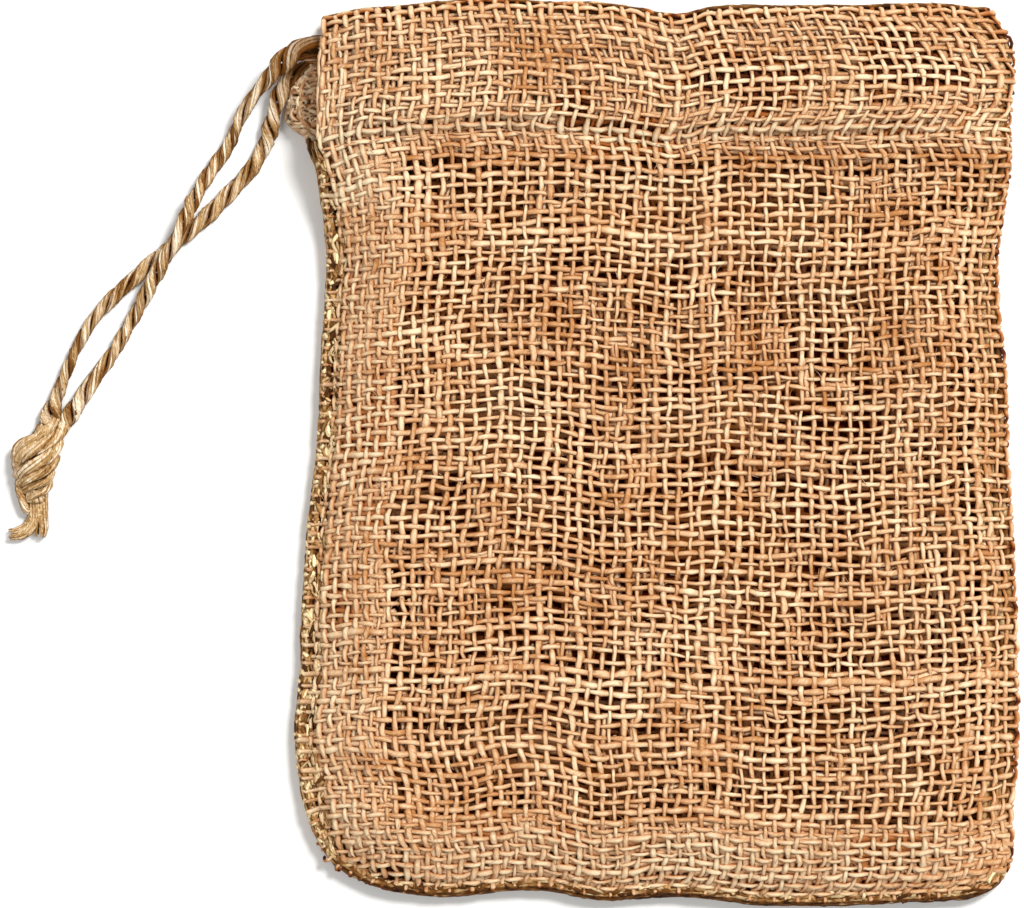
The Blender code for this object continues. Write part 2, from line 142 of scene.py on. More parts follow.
# More (+) and less (-) painted shade on the layers under the front, and a little on the front, so
# that the weave looks open or close there: across the cloth, y, half widths, how much
PAINTED_SHADE_PLACES = (
    (5.0, -56.0, 10.0, 20.0, -1.5), (8.0, 61.0, 16.0, 13.0, -1.3),
    (30.0, -64.0, 20.0, 6.0, 1.3), (6.0, 52.0, 8.0, 6.0, -1.2),
)
# Paler (+) and darker (-) places of the front: across the cloth, y, half widths, how much; the
# strip at y 59.3 is painted light on the shaded slope under the casing
PALE_PLACES = (
    (5.0, 53.0, 7.0, 6.0, 0.26), (0.0, 59.3, math.inf, 1.8, 0.26), (0.0, 55.2, math.inf, 1.9, -0.1),
    (51.0, -21.0, 25.0, 6.0, -0.17), (57.0, -38.0, 8.0, 11.0, 0.2), (70.0, -73.0, 8.0, 5.0, 0.2),
    (82.0, 22.0, 7.0, 7.0, -0.14), (45.0, 33.0, 7.0, 7.0, -0.14), (120.0, 1.0, 7.0, 7.0, -0.17),
    (19.0, -60.0, 7.0, 7.0, -0.12), (105.0, -8.0, 7.0, 9.0, 0.13), (45.0, 75.0, 7.0, 6.0, -0.1),
)
# Soft ridges (+) and troughs (-) of the front: x, y of each end, half width, height
FOLDS = (
    (11.0, 42.0, 30.5, 32.5, 4.5, 0.9), (42.0, 28.0, 58.0, 23.0, 5.0, 0.7),
    (-35.5, 10.5, -29.5, -8.5, 5.5, 0.7), (-17.5, 5.0, -2.0, 0.0, 4.5, -0.9),
    (-2.0, 0.0, 17.5, -7.0, 4.5, -0.9), (22.0, -12.5, 29.0, -25.0, 4.5, -0.7),
    (47.0, -11.0, 56.0, -23.0, 5.0, -0.7), (-62.0, -57.0, -38.0, -62.5, 4.0, -1.3),
    (14.0, 50.0, 58.0, 52.0, 4.5, -0.8), (-58.0, 56.0, -46.0, 45.0, 3.5, 0.8),
    (-60.0, 47.0, -50.0, 38.0, 3.5, 0.6), (-34.0, 52.0, -22.0, 50.0, 5.0, -0.5),
    (-20.0, -45.0, 4.0, -50.0, 9.0, 0.5), (-38.0, -50.0, -28.0, -56.0, 7.0, -0.5),
    (46.0, 4.0, 54.0, -6.0, 7.0, -0.6), (50.0, 60.0, 58.0, 76.0, 5.0, -0.4),
    (-2.0, 66.0, 8.0, 79.0, 4.5, -0.35), (-52.0, 64.0, -40.0, 72.0, 5.0, 0.4),
    (14.0, 68.0, 34.0, 74.0, 5.0, 0.3),
)
# Upper strand, from inside the front casing to the knot: x, y, z of its middle
UPPER_STRAND = (
    (-58.6, 72.4, 8.6), (-60.8, 72.6, 8.0), (-63.6, 72.5, 7.4), (-66.5, 70.5, 6.6),
    (-69.3, 67.4, 5.4), (-71.9, 64.3, 4.1), (-73.9, 61.2, 2.9), (-75.2, 58.4, 2.1),
    (-76.4, 55.8, 1.4), (-78.4, 52.8, 1.2), (-80.8, 49.3, 2.0), (-82.7, 45.7, 3.1),
    (-84.4, 42.1, 3.8), (-86.0, 38.5, 3.9), (-88.0, 35.0, 3.8), (-90.0, 31.3, 3.0),
    (-91.9, 27.7, 1.9), (-94.0, 24.1, 1.2), (-96.0, 20.4, 1.2), (-98.3, 16.9, 1.2),
    (-100.9, 13.2, 1.2), (-103.4, 9.6, 1.2), (-105.9, 5.6, 1.3),
)
# Lower strand, from inside the back casing to the knot: x, y, z of its middle
LOWER_STRAND = (
    (-58.6, 69.6, 2.5), (-60.6, 69.6, 2.55), (-63.4, 68.9, 2.6), (-65.6, 67.3, 2.6),
    (-67.0, 65.2, 2.6), (-67.9, 62.6, 2.5), (-68.6, 59.8, 2.1), (-69.3, 57.2, 1.5),
    (-70.4, 54.6, 1.2), (-72.2, 51.7, 1.2), (-74.8, 48.7, 1.2), (-77.9, 45.4, 1.2),
    (-81.0, 42.4, 1.2), (-83.8, 39.9, 1.2), (-86.8, 37.3, 1.2), (-90.5, 34.3, 1.2),
    (-94.2, 31.1, 1.2), (-98.0, 27.6, 1.2), (-101.1, 24.0, 1.2), (-103.2, 20.4, 1.2),
    (-104.9, 16.8, 1.2), (-106.4, 13.2, 1.2), (-107.7, 9.6, 1.2), (-109.1, 5.3, 1.3),
)
# How wide the strands lie, loose or drawn tight: way along, share of the usual width
UPPER_WIDTHS = (
    (0.0, 2.3), (5.0, 2.1), (9.0, 1.7), (14.0, 1.2), (18.0, 1.0), (22.0, 0.75), (27.0, 0.95),
    (78.0, 1.0), (85.0, 1.25),
)
LOWER_WIDTHS = (
    (0.0, 1.4), (10.0, 1.3), (20.0, 1.2), (60.0, 1.05), (72.0, 0.7), (77.0, 0.8), (84.0, 1.45),
)
# The cut tails below the knot: x, y, z of the middle
TOE_TAIL = (
    (-111.4, -8.2, 1.2), (-111.5, -11.2, 1.2), (-112.1, -12.9, 1.2), (-113.7, -14.1, 1.2),
    (-116.1, -14.5, 1.1),
)
HEEL_TAIL = (
    (-110.3, -7.0, 1.0), (-110.3, -11.6, 1.1), (-110.3, -13.4, 1.1), (-110.5, -15.0, 1.1),
)
# The knot's turns of twine: half width, half height, bundles, turns of twist, then the middle
KNOT_TURNS = (
    (2.4, 0.9, 19, 0.2, ((-108.3, 5.4, 1.2), (-109.8, 3.0, 1.5), (-110.6, 1.4, 1.9),
                         (-111.4, -0.7, 2.3), (-111.3, -3.5, 2.0), (-111.1, -6.5, 1.6))),
    (1.9, 1.1, 14, 0.3, ((-109.6, 4.4, 2.0), (-110.6, 1.5, 2.4), (-111.4, -2.5, 2.6),
                         (-111.3, -6.2, 2.2), (-111.2, -8.6, 1.7))),
    (1.15, 0.95, 12, 0.7, ((-107.6, 6.4, 1.2), (-108.9, 4.6, 1.9), (-110.9, 2.9, 3.1),
                           (-113.0, 2.1, 3.2), (-114.5, 0.8, 2.5), (-114.7, -0.9, 1.6))),
    (1.35, 1.05, 12, 0.8, ((-105.8, 5.8, 1.3), (-106.9, 3.9, 2.2), (-108.4, 2.5, 3.6),
                           (-110.6, 1.3, 4.7), (-112.8, 0.2, 4.3), (-114.2, -1.0, 2.9),
                           (-114.4, -2.2, 1.7))),
    (1.25, 0.95, 12, 0.6, ((-107.3, 2.4, 1.8), (-107.6, 1.0, 3.0), (-109.0, -0.6, 4.4),
                           (-111.2, -1.9, 4.9), (-113.2, -2.9, 4.0), (-114.3, -3.7, 2.2))),
    (0.95, 0.85, 11, 0.6, ((-107.7, -0.6, 1.7), (-108.2, -2.0, 3.2), (-109.8, -3.3, 4.3),
                           (-112.0, -4.3, 4.1), (-113.7, -5.0, 2.8), (-114.1, -5.4, 1.8))),
    (0.75, 0.7, 10, 0.5, ((-108.3, -3.2, 1.7), (-108.9, -4.6, 3.0), (-110.5, -5.4, 3.7),
                          (-112.2, -6.0, 3.2), (-113.5, -6.7, 1.9))),
    (0.7, 0.65, 10, 0.5, ((-108.7, -5.2, 1.5), (-109.4, -6.6, 2.8), (-111.0, -7.3, 3.0),
                          (-112.6, -8.0, 1.9))),
    (0.85, 0.8, 10, 0.5, ((-114.1, -4.4, 1.5), (-114.2, -6.2, 1.7), (-113.6, -8.2, 1.7),
                          (-112.9, -10.0, 1.4))),
)


class Slot(Enum):
    """The record's material slots."""

    BURLAP = "burlap"
    TWINE = "twine"


class Lay(Enum):
    """Which way yarns run in the cloth."""

    WARP = "up the sack"
    WEFT = "across the sack"


def linear(code: str) -> tuple[float, float, float, float]:
    """Turn an sRGB hex colour into the linear one that a shader takes.

    Args:
        code: a # and six hex digits.

    Returns:
        Linear red, green, blue and an alpha of one.
    """
    parts = [int(code[k : k + 2], 16) / 255 for k in (1, 3, 5)]
    red, green, blue = (p / 12.92 if p <= 0.04045 else ((p + 0.055) / 1.055) ** 2.4 for p in parts)
    return red, green, blue, 1.0


def new_material(name: str, settings: dict) -> tuple[Material, bpy.types.Node]:
    """Make a material with one shader.

    Args:
        name: name of the material.
        settings: a value for each of the shader's inputs that isn't at its default.

    Returns:
        The material and its shader.
    """
    material = bpy.data.materials.new(name)
    material.use_nodes = True
    shader = material.node_tree.nodes["Principled BSDF"]
    for key, value in settings.items():
        shader.inputs[key].default_value = value
    return material, shader


def smooth(rows: tuple, at: Array, column: int = 1) -> Array:
    """Read a table along the smooth curve through its rows.

    Args:
        rows: the table, with the position in column 0.
        at: positions to read.
        column: the column to read.

    Returns:
        One value for each position.
    """
    table = np.array(rows, float)
    places, values = table[:, 0], table[:, column]
    slopes = np.gradient(values, places)
    spot = np.clip(np.asarray(at, float), places[0], places[-1])
    low = np.clip(np.searchsorted(places, spot, side="right") - 1, 0, len(places) - 2)
    width = places[low + 1] - places[low]
    t = (spot - places[low]) / width
    start = (1 + 2 * t) * (1 - t) ** 2 * values[low] + t * (1 - t) ** 2 * width * slopes[low]
    end = t**2 * (3 - 2 * t) * values[low + 1] - t**2 * (1 - t) * width * slopes[low + 1]
    return start + end


def step(value: Array | float, low: float, high: float) -> Array:
    """Give 0 up to low, 1 from high, and a soft S between."""
    t = np.clip((np.asarray(value, float) - low) / (high - low), 0.0, 1.0)
    return t * t * (3 - 2 * t)


def hill(value: Array, centre: float, width: float) -> Array:
    """Give a smooth hill, 1 at its centre and almost 0 two widths away."""
    return np.exp(-(((value - centre) / width) ** 2))


def patches(rows: tuple, c: Array, y: Array) -> Array:
    """Add up a table of soft patches: place across, y, half widths, how much."""
    return sum(much * hill(c, c0, wide) * hill(y, y0, high) for c0, y0, wide, high, much in rows)


def soft_noise(rng: Random, shape: tuple[int, int], cells: tuple[int, int]) -> Array:
    """Make smooth random hills over a grid.

    Args:
        rng: seeded source of the numbers.
        shape: size of the grid.
        cells: how many hills along each side.

    Returns:
        Values of about unit spread, in the grid's shape.
    """
    out = rng.normal(size=(cells[0] + 3, cells[1] + 3))
    for axis in (0, 1):
        at = np.linspace(0.5, cells[axis] + 1.5, shape[axis])
        low = np.floor(at).astype(int)
        t = at - low
        t = t * t * (3 - 2 * t)
        t = t[:, None] if axis == 0 else t[None, :]
        out = np.take(out, low, axis) * (1 - t) + np.take(out, low + 1, axis) * t
    return out


def sways(rng: Random, count: int, cells: int, kinds: int) -> Array:
    """Give smooth random values along a yarn, a column for each kind of unevenness."""
    return soft_noise(rng, (count, kinds), (max(2, cells), kinds - 1))


def run_along(line: Array) -> Array:
    """Give the distance travelled along a line at each of its points."""
    return np.concatenate([[0.0], np.cumsum(np.linalg.norm(np.diff(line, axis=0), axis=1))])


def spaced(route: Array, gap: float) -> Array:
    """Lay even points along the smooth curve through a route's own points.

    Args:
        route: the route's points.
        gap: distance between the new points.

    Returns:
        The new points, first and last included.
    """
    knots = np.array(route, float)
    padded = np.vstack([knots[:1], knots, knots[-1:]])
    t = np.linspace(0, 1, 12, endpoint=False)[:, None]
    fine = []
    for p0, p1, p2, p3 in zip(padded, padded[1:], padded[2:], padded[3:]):
        fine.append(0.5 * (2 * p1 + (p2 - p0) * t + (2 * p0 - 5 * p1 + 4 * p2 - p3) * t**2
                           + (3 * p1 - p0 - 3 * p2 + p3) * t**3))
    line = np.vstack([*fine, knots[-1:]])
    run = run_along(line)
    marks = np.linspace(0.0, run[-1], max(2, round(run[-1] / gap)) + 1)
    return np.stack([np.interp(marks, run, line[:, k]) for k in range(3)], axis=1)


def unround(rx: Array, ry: Array) -> tuple[Array, Array]:
    """Undo the rounding of a corner: from shares on the round one to shares on the square one.

    Args:
        rx: 1 on the side's line, 0 a corner radius inside it.
        ry: the same for the bottom's line.

    Returns:
        The square corner's shares, over 1 outside the round outline.
    """
    dx, dy = rx.copy(), ry.copy()
    for _ in range(14):
        dx = rx / np.sqrt(np.clip(1 - CORNER_SOFTNESS * np.clip(dy, 0, 1) ** 2 / 2, 0.05, 1))
        dy = ry / np.sqrt(np.clip(1 - CORNER_SOFTNESS * np.clip(dx, 0, 1) ** 2 / 2, 0.05, 1))
    return dx, dy


def corner_inset(up: Array, radius: float) -> Array:
    """Give how far a round corner of the sewn outline stands in from the side.

    Args:
        up: heights above the bottom.
        radius: reach of the corner.

    Returns:
        The distance at each height.
    """
    ry = np.clip(1 - up / radius, 0.0, 1.0)
    flat = math.sqrt(1 - CORNER_SOFTNESS / 2)
    side = np.sqrt(np.clip(1 - CORNER_SOFTNESS * (ry / flat) ** 2 / 2, 0, 1))
    low = np.sqrt(np.clip((1 - ry**2) * 2 / CORNER_SOFTNESS, 0, 1)) * flat
    return radius * (1 - np.where(ry <= flat, side, low))


def corner_line(radius: float, steps: int) -> tuple[Array, Array]:
    """Trace a round corner of the sewn outline, from its side to its bottom.

    Args:
        radius: reach of the corner.
        steps: points on each half.

    Returns:
        Distances from the side's line and from the bottom's line.
    """
    share = np.linspace(0, 1, steps)
    dx = np.concatenate([np.ones(steps), share[::-1][1:]])
    dy = np.concatenate([share, np.ones(steps - 1)])
    rx = dx * np.sqrt(1 - CORNER_SOFTNESS * dy**2 / 2)
    ry = dy * np.sqrt(1 - CORNER_SOFTNESS * dx**2 / 2)
    return radius * (1 - rx), radius * (1 - ry)


def casing_share(y: Array | float) -> Array:
    """Give 0 at the stitches under the casing and 1 where it has its full height."""
    return step(y, STITCH_Y, FULL_CASING_Y)


def roll_right(y: Array | float) -> Array:
    """Give how far the right fold bulges at a height."""
    return FOLD_ROLL + (CASING_ROLL - FOLD_ROLL) * step(y, SIDES_OPEN_Y, FULL_CASING_Y)


def shoulder(distance: Array) -> Array:
    """Give how the front rises from an edge: 0 on it, 1 from SHOULDER inwards."""
    t = np.clip(distance / SHOULDER, 0.0, 1.0)
    return 0.5 * t * t * (3 - 2 * t) + 0.5 * t * (2 - t)


def fold_height(x: Array, y: Array) -> Array:
    """Add up the soft ridges and troughs of the front.

    Args:
        x: places across, on the real outline.
        y: places up, on the real outline.

    Returns:
        How much they lift the cloth at each place.
    """
    total = np.zeros_like(x)
    for x0, y0, x1, y1, half_width, height in FOLDS:
        run = np.array((x1 - x0, y1 - y0))
        along = np.clip(((x - x0) * run[0] + (y - y0) * run[1]) / run.dot(run), 0.0, 1.0)
        away = np.hypot(x - x0 - along * run[0], y - y0 - along * run[1])
        total += height * hill(away, 0.0, half_width)
    return total


def plan(across: Array, y: Array) -> tuple[Array, Array]:
    """Fit nominal places to the sack's uneven outline, its corners still square.

    Args:
        across: distances from the left edge, 0 to SPAN_X.
        y: nominal rows, BOTTOM_Y to TOP_Y.

    Returns:
        Real places across and up.
    """
    u = across / SPAN_X
    seam = (SEAM_ROLL + WALL / 2) * (1 - step(y, SEAM_TOP_Y, STITCH_Y + 2.0))
    left = smooth(LEFT_EDGE, y) + seam
    straight = smooth(RIGHT_EDGE, np.minimum(y, CORNER_Y))
    right = straight - roll_right(y) - WALL / 2
    corner = (smooth(RIGHT_EDGE, y) - straight) * np.clip(u, 0, 1) ** 12
    x_row = LEFT_X + u * (RIGHT_X - LEFT_X)
    low = smooth(BOTTOM_EDGE, x_row) + SEAM_ROLL + WALL / 2
    high = smooth(TOP_EDGE, x_row) - (WALL + TUNNEL) / 2 - WALL / 2
    v = (y - BOTTOM_Y) / (TOP_Y - BOTTOM_Y)
    return left + u * (right - left) + corner, low + v * (high - low)


def front_height(across: Array, y: Array, x: Array, real_y: Array) -> Array:
    """Give the front sheet's height over the back sheet, middle to middle.

    Args:
        across: distance from the left edge, on the square outline.
        y: nominal row, on the square outline.
        x: real place across.
        real_y: real place up.

    Returns:
        The height at each point.
    """
    u = across / SPAN_X
    side = smooth(SIDE_RISE, y, 1) * (1 - u) + smooth(SIDE_RISE, y, 2) * u
    body = BODY_RISE + (STITCH_RISE - BODY_RISE) * step(y, CASING_FOOT_Y, STITCH_Y)
    casing = 2 * (TUNNEL + WALL) + MOUTH_GAP + WALL
    middle = body + (casing - STITCH_RISE) * casing_share(y)
    up = y - BOTTOM_Y
    lift = shoulder(across) * shoulder(SPAN_X - across) * shoulder(up)
    beside = hill(across, GROOVE_AT, GROOVE_WIDTH) * (1 - step(y, SIDES_OPEN_Y, SEAM_TOP_Y))
    groove = GROOVE_DEPTH * np.maximum(beside, hill(up, GROOVE_AT, GROOVE_WIDTH))
    # The stitches under the casing gather the cloth
    pucker = 0.34 * np.sin(x * 0.83 + 1.5 * np.sin(x * 0.19)) + 0.26 * np.sin(x * 0.37 + 2.0)
    pucker = pucker * hill(y - STITCH_Y - 1.0, np.sin(x * 0.29), 3.2)
    return side + (middle - side) * lift - groove + (fold_height(x, real_y) + pucker) * lift


def fold_arc(front: Array, back: Array, points: int, bulge: float) -> Array:
    """Carry a ring of the cloth from the front's last point round the fold to the back's.

    Args:
        front: the front's last row: x, y, z and any further channels.
        back: the back's last row.
        points: points of the half circle, its two ends included.
        bulge: how far it stands out to the right.

    Returns:
        The rows between the two.
    """
    angle = np.linspace(0, math.pi, points)[1:-1, None]
    arc = (front + back) / 2 + (front - back) / 2 * np.cos(angle)
    arc[:, 0] += bulge * np.sin(angle[:, 0])
    return arc


@dataclass
class SackSurface:
    """Middle surface of the cloth, as a table to read at any place across and up the cloth.

    Channels are x, y, z, distance inside the sewn outline, distance from the left edge, height
    above the bottom edge.
    """

    points_across: int = 640
    row_gap: float = 0.8
    turn_rows: int = 9
    hem_gap: float = 0.3
    table: Array = field(init=False)
    ups: Array = field(init=False)
    width: float = field(init=False)
    length: float = field(init=False)
    sheet_length: float = TOP_Y - BOTTOM_Y
    turn_length: float = math.pi * (TUNNEL + WALL) / 2

    def __post_init__(self) -> None:
        """Fill the table, row by row, from the bottom seam to the hem's raw edge."""
        depth = TUNNEL + WALL
        thin = WALL + self.hem_gap
        rings = [(y, 0.0, 0.0, y - BOTTOM_Y) for y in np.arange(BOTTOM_Y, TOP_Y, self.row_gap)]
        for share in np.linspace(0, 1, self.turn_rows):
            angle = math.pi * share
            rings.append((TOP_Y, depth * (1 - math.cos(angle)) / 2, math.sin(angle) * depth / 2,
                          self.sheet_length + self.turn_length * share))
        for y in np.arange(TOP_Y - self.row_gap, HEM_END_Y, -self.row_gap):
            rings.append((y, thin + (depth - thin) * float(casing_share(y)), 0.0,
                          self.sheet_length + self.turn_length + TOP_Y - y))
        table, lengths = [], []
        for y, inside, lift, _ in rings:
            row = self.section(y, inside, lift)
            steps = np.linalg.norm(np.diff(row[:, :3], axis=0), axis=1)
            fold = slice(FRONT_POINTS - 1, len(steps) - FRONT_POINTS + 1)
            around = float(steps[fold].sum())
            steps[fold] *= 1 - FOLD_GIVE * max(around - BODY_FOLD, 0.0) / around
            run = np.concatenate([[0.0], np.cumsum(steps)])
            lengths.append(run[-1])
            marks = np.linspace(0, run[-1], self.points_across)
            table.append(np.stack([np.interp(marks, run, column) for column in row.T], axis=1))
        self.table = np.array(table)
        self.ups = np.array([ring[-1] for ring in rings])
        self.width = float(np.median(lengths))
        self.length = float(self.ups[-1])

    @property
    def apex(self) -> float:
        """Give the top turn's highest place up the cloth."""
        return self.sheet_length + self.turn_length / 2

    def section(self, y: float, depth: float, lift: float) -> Array:
        """Trace one ring of the cloth, from the front's left end round the fold to the back's.

        Args:
            y: nominal row.
            depth: how far inside the outer sheet the ring is.
            lift: how far it stands above its row, over the top turn.

        Returns:
            Rows of the table's channels.
        """
        up = y - BOTTOM_Y
        reach = SPAN_X - float(corner_inset(np.array(up), RIGHT_CORNER))
        across = np.linspace(0.0, reach, FRONT_POINTS)
        level = np.full_like(across, y)
        x, real_y = plan(across, level)
        square_x, square_y, inside = self.square(across, level)
        rise = front_height(square_x, square_y, x, real_y) - depth
        tab = smooth(BACK_TAB, real_y) * np.clip(1 - across / SPAN_X, 0, 1) ** TAB_FADE
        tab = tab * (0.85 if depth > 0 else 1.0)
        rest = (inside, across, level - BOTTOM_Y)
        front = np.stack([x, real_y + lift, BACK_Z + rise, *rest], axis=1)
        back = np.stack([x - tab, real_y + lift, np.full_like(x, BACK_Z + depth), *rest], axis=1)
        arc = fold_arc(front[-1], back[-1], 22, float(roll_right(y)) - depth)
        return np.vstack([front, arc, back[::-1]])

    def square(self, across: Array, y: Array) -> tuple[Array, Array, Array]:
        """Find where points of the round outline lie on the square one.

        Args:
            across: distances from the left edge.
            y: nominal rows.

        Returns:
            The square distances, the square rows, and distances inside the sewn edges.
        """
        up = y - BOTTOM_Y
        out_x, out_up = across.copy(), up.copy()
        inside = np.minimum(np.where(y < SEAM_TOP_Y, across, 99.0), up)
        for from_left, radius in ((True, LEFT_CORNER), (False, RIGHT_CORNER)):
            near = across if from_left else SPAN_X - across
            mask = (near < radius) & (up < radius)
            if not mask.any():
                continue
            dx, dy = unround(1 - near[mask] / radius, 1 - up[mask] / radius)
            if from_left:
                inside[mask] = radius * (1 - np.maximum(dx, dy))
            dx, dy = np.clip(dx, 0, 1), np.clip(dy, 0, 1)
            out_x[mask] = radius * (1 - dx) if from_left else SPAN_X - radius * (1 - dx)
            out_up[mask] = radius * (1 - dy)
        return out_x, BOTTOM_Y + out_up, inside

    def at(self, c: Array, r: Array) -> Array:
        """Read every channel of the table.

        Args:
            c: places across the cloth, 0 to width.
            r: places up the cloth, 0 to length.

        Returns:
            One row of channels for each place.
        """
        last = self.points_across - 1
        fc = np.clip(np.asarray(c, float) / self.width * last, 0, last - 0.001)
        fr = np.clip(np.interp(r, self.ups, np.arange(len(self.ups))), 0, len(self.ups) - 1.001)
        ic, ir = fc.astype(int), fr.astype(int)
        tc, tr = (fc - ic)[..., None], (fr - ir)[..., None]
        low = self.table[ir, ic] * (1 - tc) + self.table[ir, ic + 1] * tc
        high = self.table[ir + 1, ic] * (1 - tc) + self.table[ir + 1, ic + 1] * tc
        return low * (1 - tr) + high * tr

    def normal(self, c: Array, r: Array, reach: float = 0.9) -> Array:
        """Give the way that the cloth's outer face looks.

        Args:
            c: places across the cloth.
            r: places up the cloth.
            reach: how far to each side it is measured.

        Returns:
            Unit normals.
        """
        along = self.at(c + reach, r)[..., :3] - self.at(c - reach, r)[..., :3]
        up = self.at(c, r + reach)[..., :3] - self.at(c, r - reach)[..., :3]
        out = np.cross(along, up)
        return out / np.maximum(np.linalg.norm(out, axis=-1, keepdims=True), 1e-9)


def put(name: str, data: bpy.types.ID) -> Object:
    """Put data in the scene as an object.

    Args:
        name: name of the object.
        data: a mesh, curve, camera or light.

    Returns:
        The object.
    """
    obj = bpy.data.objects.new(name, data)
    bpy.context.scene.collection.objects.link(obj)
    return obj


@dataclass
class Tubes:
    """Yarns of one piece, swept into one mesh.

    A yarn's rows are x, y, z, radius, the cloth's outward direction, tone, and how deep in painted
    shade it lies.
    """

    sides: int
    # under_share: how much painted shade the flanks and underside take
    under_share: float = 1.0
    uneven: float = 0.13
    flatten: float = 0.0
    speckle: float = 0.06
    yarns: list = field(default_factory=list)

    def add(self, route: Array, radius: Array | float, normal: Array, tone: Array | float,
            deep: Array | float = 0.0) -> None:
        """Add one yarn, with a pointed end beyond each end of its route.

        Args:
            route: its middle line.
            radius: its radius at each point.
            normal: the cloth's outward direction at each point.
            tone: its lightness, about 0 to 1.
            deep: how much painted shade it takes, 0 to 1, and on to 2 for the painted dark of a
                gap.
        """
        if len(route) < 3:
            return
        yarn = np.empty((len(route) + 2, 9))
        body = yarn[1:-1]
        body[:, :3], body[:, 3], body[:, 4:7], body[:, 7], body[:, 8] = (
            route, radius, normal, tone, deep)
        yarn[0], yarn[-1] = yarn[1], yarn[-2]
        yarn[0, :3] -= (yarn[2, :3] - yarn[1, :3]) * TIP
        yarn[-1, :3] += (yarn[-2, :3] - yarn[-3, :3]) * TIP
        yarn[[0, -1], 3] = 0.0
        self.yarns.append(yarn)

    def mesh(self, name: str) -> Mesh:
        """Sweep every yarn and write its attributes: wrap, tone and painted shade.

        Args:
            name: name of the mesh.

        Returns:
            The mesh, closed, in millimetres.
        """
        curve = bpy.data.curves.new(name, "CURVE")
        curve.dimensions = "3D"
        curve.bevel_depth = 1.0
        curve.bevel_resolution = (self.sides - 4) // 2
        for yarn in self.yarns:
            spline = curve.splines.new("POLY")
            spline.points.add(len(yarn) - 1)
            spline.points.foreach_set("co", np.c_[yarn[:, :3], np.ones(len(yarn))].ravel())
            spline.points.foreach_set("radius", yarn[:, 3].copy())
        obj = put(name, curve)
        graph = bpy.context.evaluated_depsgraph_get()
        mesh = bpy.data.meshes.new_from_object(obj.evaluated_get(graph), depsgraph=graph)
        bpy.data.objects.remove(obj)
        bpy.data.curves.remove(curve)
        points = np.zeros(len(mesh.vertices) * 3, np.float32)
        mesh.vertices.foreach_get("co", points)
        rings = points.reshape(-1, self.sides, 3).astype(float)
        rows = np.vstack(self.yarns)
        middle, face = rows[:, None, :3], rows[:, None, 4:7]
        rng = np.random.default_rng(len(rings))
        out = rings - middle
        out *= np.clip(1 + self.uneven * rng.normal(size=rings.shape[:2]), 0.7, 1.35)[..., None]
        out -= face * (out * face).sum(-1, keepdims=True) * self.flatten
        points = middle + out
        points[..., 2] = np.maximum(points[..., 2], 0.01)
        mesh.vertices.foreach_set("co", points.astype(np.float32).ravel())
        facing = (out * face).sum(-1)
        facing = facing / np.maximum(np.linalg.norm(out, axis=-1), 1e-6)
        # Painted shade: flanks and undersides, turned from the cloth's outward face, mix towards
        # the shade colour, on top of each point's own painted shade
        painted_shade = np.clip(0.8 - facing, 0, 1) * self.under_share + rows[:, 8:]
        angle = np.arange(self.sides) * 2 * math.pi / self.sides
        wrap = np.zeros(rings.shape)
        wrap[..., 0], wrap[..., 1] = np.cos(angle), np.sin(angle)
        wrap[..., 2] = np.concatenate([run_along(yarn[:, :3]) for yarn in self.yarns])[:, None]
        # Painted highlight and shade: crests paler, flanks darker
        tone = rows[:, 7:8] + 0.17 * (facing - 0.5)
        tone += rng.normal(0, self.speckle, rings.shape[:2])
        for label, values in (("wrap", wrap), ("tone", tone), ("painted_shade", painted_shade)):
            kind, key = ("FLOAT_VECTOR", "vector") if label == "wrap" else ("FLOAT", "value")
            layer = mesh.attributes.new(label, kind, "POINT")
            layer.data.foreach_set(key, values.astype(np.float32).ravel())
        for layer in list(mesh.uv_layers):
            mesh.uv_layers.remove(layer)
        return mesh


def make_piece(name: str, parts: list[Tubes], finish: Material,
               node: str = "") -> Object:
    """Sweep yarns into one object, weld their pointed ends, and scale them to metres.

    Args:
        name: name of the piece.
        parts: its yarns, in millimetres.
        finish: its material.
        node: the solid that it stands for, if it has one of its own.

    Returns:
        The object, riding on the sack's one body.
    """
    shape = bmesh.new()
    for part in parts:
        swept = part.mesh(name)
        shape.from_mesh(swept)
        bpy.data.meshes.remove(swept)
    bmesh.ops.remove_doubles(shape, verts=shape.verts, dist=1e-5)
    bmesh.ops.scale(shape, vec=(MM, MM, MM), verts=shape.verts)
    mesh = bpy.data.meshes.new(name)
    shape.to_mesh(mesh)
    shape.free()
    mesh.shade_smooth()
    mesh.materials.clear()
    mesh.materials.append(finish)
    obj = put(name, mesh)
    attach(obj, "root")
    if node:
        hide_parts(node)
    log.info("%s: %d faces", name, len(mesh.polygons))
    return obj


@dataclass(frozen=True)
class Band:
    """A layer of cloth turned in under the front, as the front's columns and rows over it."""

    columns: range
    rows: range
    depth: float
    shift: tuple[float, float]
    thick: float = 1.5
    # inside is the layer's painted shade, and open_shade is more of it where the murk is high
    inside: float = 0.2
    open_shade: float = 0.7


